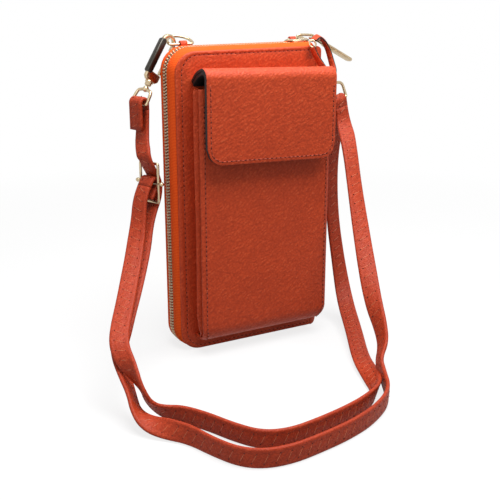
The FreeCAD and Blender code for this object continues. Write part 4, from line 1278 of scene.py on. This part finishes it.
outer_route = [
    (-63.2, 12.0, 153.2), (-63.9, 11.6, 142.0), (-66.7, 6.7, 131.9), (-67.6, -0.4, 123.9),
    (-58.2, 7.4, 110.2), (-60.1, 4.8, 100.3), (-65.7, 1.6, 91.6), (-70.7, -3.5, 83.4),
    (-75.7, -11.0, 73.4), (-83.0, -20.2, 62.1), (-91.1, -30.8, 52.0), (-100.3, -42.7, 41.8),
    (-107.2, -51.6, 33.7), (-110.7, -59.8, 27.4), (-110.9, -69.9, 20.8), (-111.2, -79.5, 15.0),
    (-111.9, -87.4, 9.3), (-108.3, -97.7, 5.4), (-101.3, -108.0, 5.7), (-94.3, -117.7, 5.8),
    (-88.8, -134.5, 5.8), (-81.7, -148.9, 5.8), (-71.3, -156.4, 5.8), (-56.7, -158.7, 5.8),
    (-38.9, -156.4, 5.8), (-19.4, -152.7, 5.8), (1.0, -145.6, 5.8), (21.4, -132.3, 6.0),
    (30.6, -113.7, 8.8), (32.2, -106.6, 14.4), (39.1, -101.6, 21.8), (42.0, -94.1, 30.0),
    (43.5, -83.5, 42.0), (50.0, -64.0, 66.0), (57.5, -41.5, 98.0), (64.0, -23.0, 127.0),
    (70.7, -5.6, 138.0), (68.5, -6.1, 147.6)]
outer_across = [
    (0.32, -0.947, 0.0), (0.32, -0.947, 0.0), (0.34, -0.94, 0.0), (0.36, -0.93, 0.0),
    (0.371, -0.929, 0.0), (0.40, -0.91, 0.0), (0.50, -0.85, 0.0), (0.60, -0.78, 0.0),
    (0.75, -0.65, 0.0), (0.83, -0.54, 0.0), (0.84, -0.52, 0.0), (0.84, -0.52, 0.0),
    (0.95, 0.31, -0.09), (0.80, 0.49, -0.35), (0.75, 0.53, -0.41), (0.61, 0.60, -0.52),
    (0.64, 0.60, -0.40), (0.74, 0.42, 0.25), (0.45, 0.14, 0.80), (0.15, 0.04, 0.97),
    (0, 0, 1), (0, 0, 1), (0, 0, 1), (0, 0, 1),
    (0, 0, 1), (0, 0, 1), (0, 0, 1), (0.0, -0.05, 1),
    (-0.1, -0.25, 0.96), (-0.2, -0.70, 0.69), (0.0, -0.78, 0.63), (0.18, -0.82, 0.54),
    (0.60, -0.77, 0.24), (0.90, -0.30, 0.10), (0.95, 0.20, 0.15), (0.95, 0.20, 0.20),
    (0.949, 0.201, 0.242), (0.949, 0.201, 0.242)]


def fold_line(bar, across, down, tail):
    """Places of the strap from its sewn tail, round a bar, to the end of its leg."""
    across, down = Vector(across).normalized(), Vector(down).normalized()
    face = across.cross(down)
    radius = fold_wire + strap_play + strap_thick / 2
    line = [Vector(bar) - face * radius + down * (tail * (1 - r / tail_rows)) for r in range(tail_rows)]
    for turn in spread(0.0, math.pi, fold_turns):
        line.append(Vector(bar) - face * (radius * math.cos(turn)) - down * (radius * math.sin(turn)))
    line += [Vector(bar) + face * radius + down * leg for leg in spread(0.0, fold_leg, leg_rows)[1:]]
    return [(spot, across) for spot in line]


# Bar, sideways direction, downward direction and length of the sewn tail of each fold.
folds = {
    "strap_hook_end": (swivel_bars["left"], outer_across[0], (0, 0, -1), 16.0),
    "strap_hook_fold": (swivel_bars["right"], outer_across[-1], (0.237, 0.05, -0.97), 4.0),
    "strap_buckle_end": (buckle_mid, -buckle_across, (-0.501, -0.2, -0.842), 10.0),
}
strap_frames = []
for name, sizes in folds.items():
    fold, frames = band_piece(name + "_leather", fold_line(*sizes), strap_section, [strap_leather])
    finish_piece(fold, "back_half", "leather", name)
    strap_frames.append(frames)
straps = {
    "strap_inner": (inner_route, inner_across, 0.558),
    "strap_outer": (outer_route, outer_across, 0.585),
}
for name, (points, across, length) in straps.items():
    route = soft_route(points, across)
    strap, frames = band_piece(name + "_leather", route, strap_section, [strap_leather])
    finish_piece(strap, "back_half", "leather", name)
    strap_frames.append(frames)


# Stitching
# Polyester thread of the leather's colour, sunk between dark needle holes.
# It runs along covers, pocket and flap, and lies slanting and paler across the strap.
thread_twist = 0.3472
seam_pitch = 3.0
seam_slant = math.radians(8)
cover_seam_out = 1.16
pocket_seam_in, pocket_seam_out = 2.6, 0.2
pocket_seam_rows = slice(8, -2)
flap_seam_in, flap_seam_out = 2.3, 0.1
flap_seam_heights = [170.0, 160.0, 150.0, 140.0]
flap_seam_foot = [-20.0, 0.0, 20.0]
strap_pitch = 6.1
first_strap_stitch = 2.6
strap_seam_out = 1.16
strap_slope_shares = (0.43, 0.9)
thread_lift = 0.02


def sewing_thread(name, base, deep):
    """Twisted polyester thread: slightly glossy, its twist a slanting rib, drawn coarse so that it shows."""
    material, tree = blank_material(name)
    place = node(tree, "ShaderNodeTexCoord")
    twist = node(tree, "ShaderNodeTexWave",
                 {"Vector": place.outputs["Object"], "Scale": 1 / (thread_twist * mm) / wave_bands},
                 bands_direction="DIAGONAL")
    two_tone(tree, twist.outputs["Fac"], deep, base, {"Roughness": 0.5})
    return material


seam_thread = sewing_thread("red_thread", "#C2502F", "#9A3820")
strap_thread = sewing_thread("pale_red_thread", "#CB6A44", "#A9502E")

# Needle holes: dull dark red, painted shade standing for the shadow inside each small pit in the leather.
needle_hole_shade, hole_tree = blank_material("needle_hole_shade")
hole_dark = node(hole_tree, "ShaderNodeBsdfPrincipled", {"Base Color": linear("#4A1208"), "Roughness": 0.9})
node(hole_tree, "ShaderNodeOutputMaterial", {"Surface": hole_dark.outputs[0]})

stitch_tree, start, end, turn, along = repeat_tree(
    "sewn_stitch", [("Thread", "NodeSocketVector"), ("Hole", "NodeSocketVector"),
                    ("Shift", "NodeSocketFloat"), ("Slant", "NodeSocketFloat"),
                    ("Thread material", "NodeSocketMaterial"), ("Hole material", "NodeSocketMaterial")])
slanted = leaning(stitch_tree, turn, start.outputs["Slant"])
bead = node(stitch_tree, "GeometryNodeMeshIcoSphere", {"Radius": 0.5, "Subdivisions": 2})
threads = set_out(stitch_tree, {"Points": start.outputs["Geometry"], "Instance": bead.outputs["Mesh"],
                                "Rotation": slanted.outputs[0], "Scale": start.outputs["Thread"]},
                  start.outputs["Thread material"])
moved = node(stitch_tree, "ShaderNodeVectorMath",
             {0: along.outputs["Attribute"], "Scale": start.outputs["Shift"]}, operation="SCALE")
ends = node(stitch_tree, "GeometryNodeSetPosition",
            {"Geometry": start.outputs["Geometry"], "Offset": moved.outputs[0]})
pit = node(stitch_tree, "GeometryNodeMeshIcoSphere", {"Radius": 0.5, "Subdivisions": 1})
holes = set_out(stitch_tree, {"Points": ends.outputs[0], "Instance": pit.outputs["Mesh"],
                              "Rotation": turn.outputs[0], "Scale": start.outputs["Hole"]},
                start.outputs["Hole material"])
sewn = node(stitch_tree, "GeometryNodeJoinGeometry")
stitch_tree.links.new(threads.outputs[0], sewn.inputs[0])
stitch_tree.links.new(holes.outputs[0], sewn.inputs[0])
stitch_tree.links.new(sewn.outputs[0], end.inputs[0])
seam_values = {
    "Thread": metres(1.9, 0.6, 0.5), "Hole": metres(1.3, 0.85, 0.4), "Shift": 1.5 * mm, "Slant": seam_slant,
    "Thread material": seam_thread, "Hole material": needle_hole_shade}
strap_values = {
    "Thread": metres(5.6, 0.4, 0.3), "Hole": metres(0.7, 0.7, 0.5), "Shift": 2.9 * mm, "Slant": 0.0,
    "Thread material": strap_thread, "Hole material": needle_hole_shade}

for side, name in ((-1, "front"), (1, "back")):
    ring = cover_ring(cover_edges, stitch_inset, side * (cover_in + cover_seam_out))
    marks = even_marks(ring, [(0, side, 0)] * len(ring), seam_pitch)
    if name == "front":
        for edge in (-1, 1):
            line, ups = [], []
            for y, z, angle in pocket_line(0.0):
                draw = drawn_in(z, *pocket_draw) + face_inset * (edge < 0)
                out_y, out_z = -math.cos(angle), -math.sin(angle)
                line.append((edge * (pocket_half - pocket_seam_in - draw), y + pocket_seam_out * out_y,
                             z + pocket_seam_out * out_z))
                ups.append((0, out_y, out_z))
            marks += even_marks(line[pocket_seam_rows], ups[pocket_seam_rows], seam_pitch)
    sewing = grown("cover_stitches_" + name, marks, stitch_tree, seam_values)
    finish_piece(sewing, name + "_half", "leather")

seam_x, seam_z = flap_half - flap_seam_in, flap_bottom + flap_seam_in
corner_x, corner_z = flap_half - flap_corner, flap_bottom + flap_corner
flap_seam = [(-seam_x, z) for z in flap_seam_heights]
flap_seam += corner_arc(-corner_x, corner_z, flap_corner - flap_seam_in, 180)
flap_seam += [(x, seam_z) for x in flap_seam_foot]
flap_seam += corner_arc(corner_x, corner_z, flap_corner - flap_seam_in, 270)
flap_seam += [(seam_x, z) for z in reversed(flap_seam_heights)]
seam_y = fold_y - flap_fold - flap_seam_out
flap_path = [(x, seam_y, z - flap_tilt * (x + flap_half)) for x, z in flap_seam]
marks = even_marks(flap_path, [(0, -1, 0)] * len(flap_path), seam_pitch)
finish_piece(grown("flap_stitches", marks, stitch_tree, seam_values), "flap_hanging", "leather")

marks = []
for frames in strap_frames:
    for face in (-1, 1):
        line = [spot + out * (face * strap_seam_out) for spot, flow, side, out in frames]
        ups = [out * face for spot, flow, side, out in frames]
        for spot, flow, up in even_marks(line, ups, strap_pitch, first_strap_stitch):
            along_share, across_share = strap_slope_shares
            slope = (flow * along_share + up.cross(flow) * (face * across_share)).normalized()
            # Each thread is laid twice, the second turned round, so that both its ends have a needle hole.
            marks.append((spot, slope, up))
            marks.append((spot + up * thread_lift, -slope, up))
finish_piece(grown("strap_stitches", marks, stitch_tree, strap_values), "back_half", "leather")
